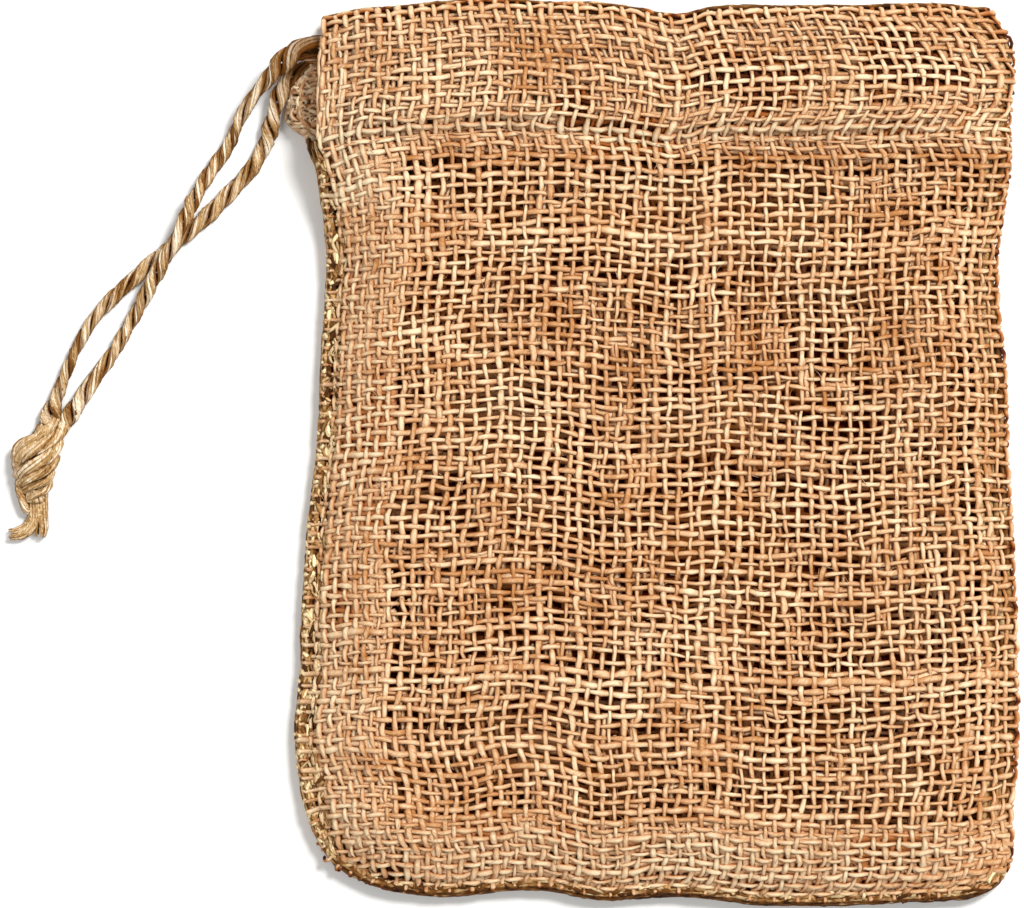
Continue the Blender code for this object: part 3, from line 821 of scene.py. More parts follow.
@dataclass
class Weave:
    """The crossings of warp and weft over the whole cloth, and the yarns through them."""

    surface: SackSurface
    seed: int = 7
    gutter: float = 1.75
    band_pitch: float = 2.03
    band_columns: int = 7
    warp_pitch: float = 2.19
    first_row: float = 0.8
    low_weft_pitch: float = 1.56
    low_rows: int = 8
    weft_pitch: float = 1.747
    warp_radius: float = 0.46
    weft_radius: float = 0.435
    crossing: float = 0.3
    crest: float = 0.27
    dive_shade: float = 0.36
    rim_reach: float = 2.6
    fold_margin: float = 8.0
    columns: Array = field(init=False)
    rows: Array = field(init=False)
    c: Array = field(init=False)
    r: Array = field(init=False)
    murk: Array = field(init=False)
    crowd: Array = field(init=False)
    pale: Array = field(init=False)
    fold_column: int = field(init=False)
    turn_row: int = field(init=False)

    def __post_init__(self) -> None:
        """Place the crossings, with the drift of loose jute yarns, and then the patches of painted
        shade, of crowding and of tone.
        """
        rng = np.random.default_rng(self.seed)
        wide, long = self.surface.width, self.surface.length
        band = self.gutter + self.band_pitch * np.arange(self.band_columns)
        count = round((wide - 2 * band[-1]) / self.warp_pitch)
        middle = np.linspace(band[-1], wide - band[-1], count + 1)
        self.columns = np.concatenate([band[:-1], middle, (wide - band[:-1])[::-1]])
        low = self.first_row + self.low_weft_pitch * np.arange(self.low_rows)
        rest = np.arange(low[-1] + self.weft_pitch, long - 0.3, self.weft_pitch)
        self.rows = np.concatenate([low, rest])
        shape = (len(self.columns), len(self.rows))

        def hills(across: float, up: float) -> Array:
            """Give random hills over the crossings, each of about a size in millimetres."""
            return soft_noise(rng, shape, (round(wide / across), round(long / up)))

        drift_c = 0.42 * hills(24, 20) + 0.16 * hills(8, 7)
        drift_r = 0.42 * hills(24, 20) + 0.14 * hills(8, 7)
        drift_c += 0.22 * soft_noise(rng, shape, (shape[0], round(long / 7)))
        drift_r += 0.19 * soft_noise(rng, shape, (round(wide / 7), shape[1]))
        drift_c += rng.normal(0, 0.19, shape)
        drift_r += rng.normal(0, 0.16, shape)
        cc, rr = np.meshgrid(self.columns, self.rows, indexing="ij")
        y = rr + BOTTOM_Y
        # The threads drawn in under the casing's left end, and the slant in the round corner
        drift_r -= 2.4 * np.exp(-cc / 9.0) * hill(y, 53.0, 6.5)
        drift_r -= 1.6 * hill(y, -58.0, 9.0) * hill(cc, 26.0, 12.0)
        drift_c += 3.2 * step(-y, 48.0, 76.0) * hill(cc, 4.0, 24.0)
        edge = np.clip(np.minimum(cc, wide - cc) / 4.0, 0.15, 1.0)
        self.c = cc + drift_c * edge - 1.1 * step(y, 52.0, 57.0) * np.exp(-cc / 3.0)
        self.r = rr + drift_r * np.clip(rr / 4.0, 0.2, 1.0)
        grain = 0.4 * hills(17, 15)
        grain += 0.62 * hills(7, 6)
        from_fold = wide / 2 - cc
        mouth_end = hill(from_fold, 2.0, 8.0) * step(y, 56.0, 62.0)
        # Painted shade in patches: the listed places, less of it at the mouth's right end, more
        # beside the fold
        places = patches(PAINTED_SHADE_PLACES, cc, y) - 1.2 * mouth_end
        places += hill(from_fold, 0.0, 16.0) * step(y, 10.0, 45.0) * (1 - step(y, 50.0, 58.0))
        # murk is where the layers under the front take painted shade, and crowd is where fillers go
        self.murk, self.crowd = grain + places, -grain
        self.pale = 0.15 * grain - 0.09 * places - 0.16 * mouth_end + patches(PALE_PLACES, cc, y)
        self.pale += 0.12 * hill(y, -73.0, 4.0) * step(cc, 25.0, 35.0) * step(from_fold, 6.0, 16.0)
        self.pale += 0.1 * hill(y, -76.0, 3.0) * step(cc, 20.0, 30.0)
        self.pale -= 0.16 * hill(from_fold, 3.0, 7.0) * step(-y, 68.0, 74.0)
        self.fold_column = int(np.searchsorted(self.columns, wide / 2))
        self.turn_row = int(np.searchsorted(self.rows, self.surface.apex))

    def row_at(self, y: float) -> int:
        """Give the first row above a height."""
        return int(np.searchsorted(self.rows, y - BOTTOM_Y))

    def radius_along(self, rng: Random, count: int, base: float) -> Array:
        """Give a yarn's uneven radius, with its thick and thin places.

        Args:
            rng: seeded source of the numbers.
            count: how many points it has.
            base: its usual radius.

        Returns:
            A radius for each point.
        """
        own = base * math.exp(rng.normal(0, 0.11))
        wave = sways(rng, count, count // 9, 2)[:, 0]
        slub = np.clip(sways(rng, count, count // 14, 2)[:, 0] - 1.25, 0, 1.5)
        return own * np.clip(1 + 0.17 * wave + 0.5 * slub, 0.6, 1.7)

    def path(self, lay: Lay, index: int, low: int, high: int, fine: bool) -> tuple[Array, ...]:
        """Trace one yarn through its crossings.

        Args:
            lay: warp or weft.
            index: which column or row it is.
            low: its first crossing.
            high: one past its last crossing.
            fine: two points over each crest instead of one.

        Returns:
            Places across, places up, the offset from the cloth's middle, and the nearest crossing.
        """
        at = (index, slice(low, high)) if lay is Lay.WARP else (slice(low, high), index)
        c, r = self.c[at], self.r[at]
        over = np.where((np.arange(low, high) + index) % 2 == 0, 1.0, -1.0)
        if lay is Lay.WEFT:
            over = -over
        spots = np.arange(len(c), dtype=float)
        if fine:
            crests = spots[over > 0]
            spots = np.sort(np.r_[spots[over < 0], crests - self.crest, crests + self.crest])
        nearest = np.clip(np.rint(spots).astype(int), 0, len(c) - 1)
        places = np.arange(len(c))
        c, r = np.interp(spots, places, c), np.interp(spots, places, r)
        calm = 1 - 0.75 * hill(r, self.surface.apex, 1.3)
        return c, r, over[nearest] * self.crossing * calm, low + nearest

    def lay_yarns(self, tubes: Tubes, lay: Lay, indices: range, low: int, high: int, fine: bool,
                  seed: int, painted_shade: float = 0.0) -> None:
        """Add a set of yarns to the tubes, each cut at the seams and wrapped round the rim.

        Args:
            tubes: where they go.
            lay: warp or weft.
            indices: which columns or rows.
            low: first crossing.
            high: one past the last crossing.
            fine: two points over each crest.
            seed: seed of their thickness and tone.
            painted_shade: how much painted shade they take, as they lie inside the sack, 0 to 1.
        """
        rng = np.random.default_rng(seed)
        base = (self.warp_radius if lay is Lay.WARP else self.weft_radius) * (1.0 if fine else 1.08)
        for index in indices:
            c, r, offset, near = self.path(lay, index, low, high, fine)
            place = (index, near) if lay is Lay.WARP else (near, index)
            spots, count, over = self.surface.at(c, r), len(c), offset > 0
            tone = rng.normal(0.5, 0.08) + 0.08 * sways(rng, count, count // 5, 2)[:, 0]
            # Painted shade: a little darker where the yarn runs under a crossing
            tone += rng.normal(0, 0.08, count) - np.where(over, 0.0, 0.1)
            radius = self.radius_along(rng, count, base) * np.where(over, 1.02, 0.95)
            radius *= np.clip(rng.normal(1, 0.08, count), 0.75, 1.3)
            # Painted shade: the back's and hem's yarns by the given amount and more in murky
            # patches; the front's where they dive under a crossing, down into the seam's groove,
            # and round the fold and the top
            if painted_shade:
                murk = self.murk[place] * (painted_shade > 0.5)
                deep = np.clip(painted_shade + 0.4 * murk, 0.1, 1.5)
            else:
                # Paler and darker patches of the front, some of them painted light and shade
                tone += self.pale[place]
                drop = self.drop_at_seam(lay, spots)
                offset = offset - 0.5 * drop
                deep = np.where(over, 0.0, self.dive_shade) + 0.8 * drop
                deep = deep + self.gloom(rng, c, r) * (spots[:, INSIDE] > 3.0)
            keep = np.flatnonzero(spots[:, INSIDE] > 0.0)
            if len(keep) < 4:
                continue
            first, last = keep[[0, -1]]
            inner = slice(first, last + 1)
            normal = self.surface.normal(c[inner], r[inner])
            yarn = np.c_[spots[inner, :3] + normal * offset[inner, None], radius[inner], normal,
                         tone[inner], deep[inner]]
            to_seam = lay is Lay.WEFT and high == len(self.columns)
            ends = ((first, first > 0 or low == 0), (last, last < count - 1 or to_seam))
            for number, (end, cut) in enumerate(ends):
                spot = spots[end]
                on_fold = spot[ACROSS] > SPAN_X - self.fold_margin
                if spot[INSIDE] > self.rim_reach or on_fold or not cut:
                    continue
                rim = self.rim(spot, offset[end], rng.random() < 0.45, yarn[-number])
                yarn = np.vstack([yarn, rim] if number else [rim[::-1], yarn])
            tubes.add(yarn[:, :3], yarn[:, 3], yarn[:, 4:7], yarn[:, 7], yarn[:, 8])

    def drop_at_seam(self, lay: Lay, spots: Array) -> Array:
        """Give how far down a yarn goes beside the sewn edge that it ends at.

        Args:
            lay: warp or weft.
            spots: the table's channels along the yarn.

        Returns:
            0 to 1 at each point.
        """
        beyond = spots[:, UP if lay is Lay.WEFT else ACROSS] > 6.0
        away = np.where(beyond, spots[:, INSIDE], 9.0)
        return np.clip(1.35 - away / 1.7, 0, 1) * (1.0 if lay is Lay.WEFT else 0.4)

    def gloom(self, rng: Random, c: Array, r: Array) -> Array:
        """Give the blotchy painted shade of yarns that turn away round the right fold and the top.

        Args:
            rng: seeded source of the numbers.
            c: places across the cloth.
            r: places up the cloth.

        Returns:
            How deep in shade they lie.
        """
        rising = self.surface.normal(c, r)[:, 2]
        folds = step(0.7 - rising, 0.0, 0.16) * (c > self.surface.width / 2 - 6.0)
        turns = step(0.48 - rising, 0.0, 0.14) * (r > self.surface.sheet_length - 6.0)
        blotch = rng.choice([0.0, 0.3, 0.55, 1.9], len(c), p=[0.4, 0.25, 0.2, 0.15])
        return blotch * np.maximum(folds, turns)

    def lay_band(self, tubes: Tubes, lay: Lay, band: Band, seed: int) -> None:
        """Add the yarns of one layer of seam allowance or hem, under the front.

        Args:
            tubes: where they go.
            lay: warp or weft.
            band: the layer.
            seed: seed of its drift.
        """
        rng = np.random.default_rng(seed)
        warp = lay is Lay.WARP
        lines, along = (band.columns, band.rows) if warp else (band.rows, band.columns)
        base = (self.warp_radius if warp else self.weft_radius) * band.thick
        reach, count = slice(along.start, along.stop), len(along)
        for index in lines:
            at = (index, reach) if warp else (reach, index)
            sway = sways(rng, count, count // 5, 2)
            c = np.maximum(self.c[at] + band.shift[0] + 0.45 * sway[:, 0], 0.4)
            r = np.maximum(self.r[at] + band.shift[1] + 0.45 * sway[:, 1], 0.4)
            spots = self.surface.at(c, r)
            keep = spots[:, INSIDE] > 0.9
            if keep.sum() < 3:
                continue
            normal = self.surface.normal(c, r)
            under = np.minimum(band.depth, (spots[:, 2] - BACK_Z) * band.depth / 3.2)
            side = np.where((np.array(along) + index) % 2 == 0, 0.25, -0.25)
            route = spots[:, :3] + normal * ((side if warp else -side) - under)[:, None]
            radius = self.radius_along(rng, count, base)
            tone = rng.normal(0.52, 0.08) + 0.1 * sway[:, 0]
            # Painted shade: the layer's own amount, and more in murky patches, so that the cells
            # over it look dark
            shade = band.inside + band.open_shade * step(self.murk[at], 0.2, 0.7)
            tubes.add(route[keep], radius[keep], normal[keep], tone[keep], shade[keep])

    def rim(self, spot: Array, offset: float, dives: bool, end: Array) -> Array:
        """Carry a yarn from the cloth's sewn edge round the rolled rim.

        Args:
            spot: the table's channels at the yarn's last place inside the edge.
            offset: the yarn's offset from the cloth's middle there.
            dives: whether it goes down into the groove first.
            end: the yarn's own last row.

        Returns:
            Rows of the yarn round the rim.
        """
        away = np.minimum(spot[[ACROSS, UP]] - LEFT_CORNER, 0.0)
        if spot[ACROSS] > LEFT_CORNER:
            away = np.array([0.0, -1.0])
        out = away / max(np.linalg.norm(away), 1e-9)
        edge = spot[:2] + out * spot[INSIDE]
        is_front = spot[2] > BACK_Z + 0.8
        top = max(spot[2], BACK_Z + 2.2) if is_front else BACK_Z + 2.5
        middle, half = (top + BACK_Z) / 2, (top - BACK_Z) / 2
        turns = np.arange(20.0, 160.0, 21.0) if is_front else np.arange(167.0, 90.0, -21.0)
        lean = np.array([-out[1], out[0]]) * 0.16 * math.sin(37.0 * edge[0] + 91.0 * edge[1])
        thin, tone = end[3] * 0.82, end[7]
        rows = []
        # Painted shade down in the groove and where the roll sinks, and painted shadow along the
        # bottom, which faces away from the key light
        if dives and is_front:
            rows.append([*(edge - out * 0.85), top - 0.75, thin, *UPWARDS, tone, 1.0])
        low = float(step(-out[1], 0.5, 0.95))
        for number, angle in enumerate(np.radians(turns)):
            roll = (SEAM_ROLL - 0.27) * math.sin(angle)
            sway = (-offset, 0.0, offset, 0.0)[number % 4] * 1.1
            sunk = min(max(2.2 * math.sin(angle) - 0.9, 0.0), 1.0)
            rows.append([*(edge + out * roll + lean * (number - 1)),
                         middle + (half + sway) * math.cos(angle), thin,
                         *(out * math.sin(angle)), math.cos(angle), tone,
                         0.2 * sunk + (1.7 * low if sunk > 0 else 0.0)])
        return np.array(rows)


@dataclass
class SeamEdge:
    """Yarns along the edges: the sewn roll and its groove, the casing's end, the turn, the fold."""

    weave: Weave
    finish: Material
    rolled: tuple = (
        (18.0, 0.36, 0.12, 0.1), (60.0, 0.36, 0.12, 0.3), (104.0, 0.36, 0.12, 0.5),
        (146.0, 0.38, 0.1, 0.5), (-4.0, 0.5, 0.45, 0.8), (39.0, 0.52, 0.4, 0.9),
        (82.0, 0.52, 0.36, 1.2), (125.0, 0.52, 0.4, 1.2),
    )  # angle round the roll, radius, how far sunk, shade
    seed: int = 71
    top_y: float = 59.5
    front_top_y: float = 56.5
    loop_gap: float = 1.8
    crumpled: int = 760
    tab_foot_y: float = 47.0
    tab_head_y: float = 75.5
    tab_yarns: int = 8
    tab_points: int = 14
    tab_bits: int = 80
    line: Array = field(init=False)
    out: Array = field(init=False)
    height: Array = field(init=False)
    tubes: Tubes = field(init=False)
    rng: Random = field(init=False)

    def __post_init__(self) -> None:
        """Trace the sewn outline from the casing down the left side and along the bottom."""
        self.tubes, self.rng = Tubes(6, flatten=0.15), np.random.default_rng(self.seed)
        left_x, left_up = corner_line(LEFT_CORNER, 14)
        right_x, right_up = corner_line(RIGHT_CORNER, 7)
        down = np.arange(self.top_y - BOTTOM_Y, LEFT_CORNER + 1, -1.5)
        along = np.arange(LEFT_CORNER + 1, SPAN_X - RIGHT_CORNER - 1, 1.5)
        across = np.concatenate([np.zeros_like(down), left_x, along, (SPAN_X - right_x)[::-1]])
        up = np.concatenate([down, left_up, np.zeros_like(along), right_up[::-1]])
        points = np.stack(plan(across, BOTTOM_Y + up), 1)
        run = run_along(points)
        marks = np.arange(0, run[-1], EDGE_GAP)
        self.line = np.stack([np.interp(marks, run, points[:, k]) for k in (0, 1)], 1)
        way = np.gradient(self.line, axis=0)
        way /= np.linalg.norm(way, axis=1, keepdims=True)
        self.out = np.stack([way[:, 1], -way[:, 0]], 1)
        self.height = np.interp(marks, run, smooth(SIDE_RISE, BOTTOM_Y + up, 1))

    def make(self) -> Object:
        """Lay the edge's yarns.

        Returns:
            The edge, as one piece.
        """
        self.add_roll()
        self.add_loops()
        self.add_crumple()
        surface = self.weave.surface
        c = np.arange(1.0, surface.width - 1.0, 1.1)
        # The cords along the top turn and inside the fold take painted shade, more the further
        # round or in they lie
        for shift, radius, sunk, deep in ((-0.55, 0.4, -0.12, 0.9), (0.35, 0.42, -0.12, 1.1),
                                          (-2.0, 0.6, 0.8, 1.3), (-0.6, 0.6, 0.9, 1.3)):
            self.add_cord(c, surface.apex + shift, (0.0, 0.2), sunk, radius, (0.45, 0.15),
                          (deep, 0.35))
        r = np.arange(3.0, surface.sheet_length + 2.5, 1.2)
        for shift, deep in ((-4.4, 0.3), (-2.9, 0.35), (-1.4, 0.5), (0.2, 0.9), (1.8, 1.2)):
            c = surface.width / 2 + shift
            self.add_cord(c, r, (0.25, 0.0), 0.85, 0.72, (0.5, 0.2), (deep, 0.45))
        return make_piece("seam_edge", [self.tubes], self.finish)

    def round_roll(self, at: int | slice, turn: Array, reach: Array,
                   over: float) -> tuple[Array, Array]:
        """Give a yarn's places on the roll.

        Args:
            at: where on the outline.
            turn: angles round the roll, from its top.
            reach: how far outside the outline it lies.
            over: how far above the front and below the back.

        Returns:
            The places and their outward directions.
        """
        out, half = self.out[at], self.height[at] / 2
        route = np.c_[self.line[at] + out * reach[:, None],
                      BACK_Z + half + (half + over) * np.cos(turn)]
        return route, np.c_[out * np.sin(turn)[:, None], np.cos(turn)]

    def add_roll(self) -> None:
        """Add the yarns that run along the roll, at several angles round it."""
        rng, y, count = self.rng, self.line[:, 1], len(self.line)
        fade = 1 - step(y, SEAM_TOP_Y, STITCH_Y + 2.0)
        for angle, size, sunk, deep in self.rolled:
            wave = sways(rng, count, count // 4, 4)
            turn = np.radians(angle + 5 * wave[:, 0])
            tab = smooth(BACK_TAB, y) * (1 - np.cos(turn)) / 2
            roll = (SEAM_ROLL - sunk + 0.1 * wave[:, 1]) * fade
            route, face = self.round_roll(slice(None), turn, roll * np.sin(turn) + tab,
                                          -0.7 * sunk)
            tone = 0.5 + 0.14 * wave[:, 3] + rng.normal(0, 0.2, count)
            # Painted shadow along the bottom, which faces away from the key light, on top of each
            # yarn's painted shade and random darkness
            bottom = step(-self.out[:, 1], 0.5, 0.95) * (1.0 if angle > 50 else 0.55)
            dark = np.clip(deep + 0.9 * bottom + rng.normal(0, 0.35, count), 0, 2)
            top_y = self.front_top_y if angle < 80 else self.top_y
            radius = size * np.clip(1 + 0.22 * wave[:, 2], 0.6, 1.4)
            radius *= np.clip((top_y - y) / 5.0, 0.3, 1.0)
            low = y < top_y
            self.tubes.add(route[low], radius[low], face[low], tone[low], dark[low])

    def add_loops(self) -> None:
        """Add the short ends of yarn that wind over the roll, pale and dark by turns."""
        rng, line, out = self.rng, self.line, self.out
        places = np.arange(2.0, EDGE_GAP * len(line) - 2, self.loop_gap)
        for place in places + rng.normal(0, 0.2, len(places)):
            spot = int(np.clip(place / EDGE_GAP, 0, len(line) - 1))
            if line[spot, 1] > SEAM_TOP_Y or out[spot, 1] < -0.6 or rng.random() < 0.12:
                continue
            first = rng.uniform(-5, 60)
            turn = np.radians(np.linspace(first, first + rng.uniform(25, 50), 6))
            lean = rng.normal(0, 0.55) * np.linspace(-0.5, 0.5, 6) + rng.normal(0, 0.1, 6)
            roll = SEAM_ROLL + 0.02 + rng.normal(0, 0.07)
            route, face = self.round_roll(spot, turn, roll * np.sin(turn), 0.34)
            route[:, :2] += np.array([-out[spot, 1], out[spot, 0]]) * lean[:, None]
            tone = rng.choice([0.55, 0.8, 0.9, 1.0]) + rng.normal(0, 0.06)
            radius = rng.uniform(0.36, 0.5) * np.array([0.6, 1, 1, 1, 0.9, 0.6])
            self.tubes.add(route, radius, face, tone, 0.1)

    def add_crumple(self) -> None:
        """Add the short crumpled stretches of yarn that fill the groove beside the roll."""
        rng, line, out = self.rng, self.line, self.out
        for spot in rng.integers(4, len(line) - 4, self.crumpled):
            if line[spot, 1] > SEAM_TOP_Y:
                continue
            low = float(step(-out[spot, 1], 0.5, 0.95))
            inside, lean = rng.uniform(-0.35, 2.3 - 1.3 * low), rng.normal(0, 0.42)
            half = HALVES * rng.uniform(1.3, 3.0)
            far = inside + half * math.sin(lean) + rng.normal(0, 0.22) * BOW
            along = np.array([-out[spot, 1], out[spot, 0]]) * math.cos(lean)
            flat = line[spot] - out[spot] * far[:, None] + along * half[:, None]
            within = np.maximum(far, 0.0)
            rise = self.height[spot] + (BODY_RISE - self.height[spot]) * shoulder(within)
            rise = rise - GROOVE_DEPTH * hill(within, GROOVE_AT, GROOVE_WIDTH)
            z = BACK_Z + rise + rng.uniform(0.0, 0.4) - 0.25 * low
            tone = rng.choice([0.3, 0.5, 0.7, 0.9]) + rng.normal(0, 0.08, 5)
            # Darker at random, and painted shadow near the roll along the bottom
            deep = rng.choice([0.0, 0.4, 0.9, 1.7], p=[0.3, 0.35, 0.2, 0.15])
            deep = np.clip(deep + low * np.clip(0.5 - 0.9 * far, 0, 1), 0, 1.8)
            self.tubes.add(np.c_[flat, z], rng.uniform(0.28, 0.45) * BIT, UPWARDS, tone, deep)

    def add_cord(self, c: Array | float, r: Array | float, sway: tuple[float, float], sunk: float,
                 radius: float, tone: tuple[float, float], deep: tuple[float, float]) -> None:
        """Add a loose yarn along the turn or inside the fold, which closes the cells there.

        Args:
            c: its places across the cloth.
            r: its places up the cloth.
            sway: how far it strays across and up.
            sunk: how far under the cloth's middle it lies.
            radius: its usual radius.
            tone: its lightness and how much that strays.
            deep: how dark it lies and how much that strays.
        """
        count = max(np.size(c), np.size(r))
        wave = sways(self.rng, count, count // 5, 3)
        c, r = c + sway[0] * wave[:, 0], r + sway[1] * wave[:, 0]
        surface = self.weave.surface
        normal = surface.normal(c, r)
        self.tubes.add(surface.at(c, r)[:, :3] - normal * sunk, radius * (1 + 0.15 * wave[:, 1]),
                       normal, tone[0] + tone[1] * wave[:, 2],
                       np.clip(self.rng.normal(*deep, count), 0, 1.8))

    def add_tab(self, tubes: Tubes, rng: Random) -> None:
        """Add the crumpled weave of the back sheet's end, past the front at the casing's mouth.

        Args:
            tubes: where its yarns go.
            rng: seeded source of the numbers.
        """
        y = np.arange(self.tab_foot_y, self.tab_head_y, 0.9)
        outer = smooth(LEFT_EDGE, y) - smooth(BACK_TAB, y) + 0.4
        inner = smooth(LEFT_EDGE, y) + 2.6
        lifts = 2.8 * step(y, 54.0, 59.0)
        # The tab's yarns and bits take some painted shade, for the shadow of the casing's front
        # edge
        for share in np.arange(self.tab_yarns) / (self.tab_yarns - 1):
            wave = sways(rng, len(y), 9, 4)
            x = outer + (inner - outer) * share + 0.4 * wave[:, 0]
            z = BACK_Z + 0.75 + 0.25 * wave[:, 1] + lifts * float(step(share, 0.0, 0.3))
            tone = rng.normal(0.9, 0.1) + 0.16 * wave[:, 2] + rng.normal(0, 0.1, len(y))
            tubes.add(np.c_[np.maximum(x, outer), y, z], 0.42 * (1 + 0.25 * wave[:, 3]), UPWARDS,
                      tone, np.clip(rng.normal(0.3, 0.25, len(y)), 0, 1.6))
        share = np.linspace(0.0, 1.1, self.tab_points)
        for row, level in enumerate(np.arange(51.0, 73.5, 0.95)):
            wave = sways(rng, self.tab_points, 5, 4)
            start, end, lift = (np.interp(level, y, values) for values in (outer, inner, lifts))
            z = BACK_Z + 1.1 + 0.45 * np.cos(math.pi * (row + share * (self.tab_yarns - 1)))
            z += lift * step(share, 0.0, 0.3) + 0.2 * wave[:, 1]
            route = np.c_[start + (end - start) * share, level + 0.55 * wave[:, 0] - 1.2 * share, z]
            tone = rng.normal(0.9, 0.12) + 0.16 * wave[:, 3]
            tubes.add(route, 0.4 * (1 + 0.25 * wave[:, 2]), UPWARDS, tone,
                      np.clip(rng.normal(0.3, 0.25, self.tab_points), 0, 1.6))
        for _ in range(self.tab_bits):
            lean = rng.normal(0, 0.35) if rng.random() < 0.5 else rng.normal(1.5, 0.3)
            half, bend = HALVES * rng.uniform(1.2, 2.4), rng.normal(0, 0.4) * BOW
            level = rng.uniform(51.0, 73.0) + half * math.cos(lean) - bend * math.sin(lean)
            share = rng.uniform(0.0, 1.0)
            start, end, lift = (np.interp(level, y, values) for values in (outer, inner, lifts))
            x = start + (end - start) * share + half * math.sin(lean) + bend * math.cos(lean)
            z = BACK_Z + 1.3 + rng.uniform(0, 0.4) + lift * float(step(share, 0.0, 0.3))
            radius = rng.uniform(0.2, 0.32) * BIT
            tone = rng.choice([0.4, 0.6, 0.75, 0.95]) + rng.normal(0, 0.08, 5)
            tubes.add(np.c_[np.maximum(x, start), level, z], radius, UPWARDS, tone,
                      rng.choice([0.0, 0.3, 0.5]))


@dataclass(frozen=True)
class JuteFinish:
    """Spun jute: matt bast fibre, pale gold to tan, its streaks winding with the yarn's twist."""

    name: str
    pale: str
    usual: str
    dark: str
    # shade is the colour of painted shade, and gap the painted dark of a hole, mixed in past it
    shade: str
    gap: str
    twist_turns_per_mm: float = 0.42
    fibre_scale: float = 2.6  # a streak about 0.4 mm wide, coarser than a fibre so that it shows
    fibre_stretch: float = 0.35
    roughness: float = 0.78
    shine: float = 0.12
    sheen: float = 0.05
    sheen_roughness: float = 0.5

    def make(self) -> Material:
        """Build the material.

        Returns:
            The finished material.
        """
        material, shader = new_material(self.name, {
            "Roughness": self.roughness,
            "Sheen Weight": self.sheen,
            "Sheen Roughness": self.sheen_roughness,
            "Sheen Tint": linear(self.usual),
            "Specular IOR Level": self.shine,
        })
        tree = material.node_tree

        def node(kind: str, links: dict | None = None, **settings: object) -> bpy.types.Node:
            """Add a node with its settings and links.

            Args:
                kind: the node's type.
                links: input name or number to a socket or a value.
                **settings: properties of the node.

            Returns:
                The node.
            """
            new = tree.nodes.new("ShaderNode" + kind)
            for key, value in settings.items():
                setattr(new, key, value)
            for key, value in (links or {}).items():
                if isinstance(value, bpy.types.NodeSocket):
                    tree.links.new(value, new.inputs[key])
                else:
                    new.inputs[key].default_value = value
            return new

        # Fibres: noise stretched along the yarn and turned with its twist
        wrap = node("Attribute", attribute_name="wrap")
        parts = node("SeparateXYZ", {0: wrap.outputs["Vector"]})
        along = parts.outputs["Z"]
        twist = self.twist_turns_per_mm * 2 * math.pi
        turn = node("Math", {0: along, 1: twist}, operation="MULTIPLY")
        ring = node("CombineXYZ", {0: parts.outputs["X"], 1: parts.outputs["Y"], 2: 0.0})
        spun = node("VectorRotate", {"Vector": ring.outputs[0], "Angle": turn.outputs[0]},
                    rotation_type="Z_AXIS")
        slow = node("Math", {0: along, 1: self.fibre_stretch}, operation="MULTIPLY")
        offset = node("CombineXYZ", {0: 0.0, 1: 0.0, 2: slow.outputs[0]})
        place = node("VectorMath", {0: spun.outputs[0], 1: offset.outputs[0]}, operation="ADD")
        fibres = node("TexNoise", {"Vector": place.outputs[0], "Scale": self.fibre_scale,
                                   "Detail": 4.0, "Roughness": 0.6})
        # Colour: the yarn's own tone with its fibres, then painted shade towards the shade colour,
        # and past 1 towards the painted dark of a gap
        tone = node("Attribute", attribute_name="tone")
        painted_shade = node("Attribute", attribute_name="painted_shade")
        streak = node("Math", {0: fibres.outputs[0], 1: 1.4, 2: -0.7}, operation="MULTIPLY_ADD")
        mixed = node("Math", {0: tone.outputs["Fac"], 1: streak.outputs[0]}, operation="ADD")
        ramp = node("ValToRGB", {0: mixed.outputs[0]})
        stops = ramp.color_ramp.elements
        stops[0].position, stops[0].color = 0.1, linear(self.dark)
        stops[1].position, stops[1].color = 0.9, linear(self.pale)
        stops.new(0.5).color = linear(self.usual)
        depth = painted_shade.outputs["Fac"]
        shaded = node("Mix", {0: depth, 6: ramp.outputs[0], 7: linear(self.shade)},
                      data_type="RGBA", blend_type="MIX")
        beyond = node("Math", {0: depth, 1: 1.0}, operation="SUBTRACT")
        deep = node("Mix", {0: beyond.outputs[0], 6: shaded.outputs[2], 7: linear(self.gap)},
                    data_type="RGBA", blend_type="MIX")
        tree.links.new(deep.outputs[2], shader.inputs["Base Color"])
        bump = node("Bump", {"Height": fibres.outputs[0], "Strength": 0.6, "Distance": 0.00012})
        tree.links.new(bump.outputs[0], shader.inputs["Normal"])
        return material


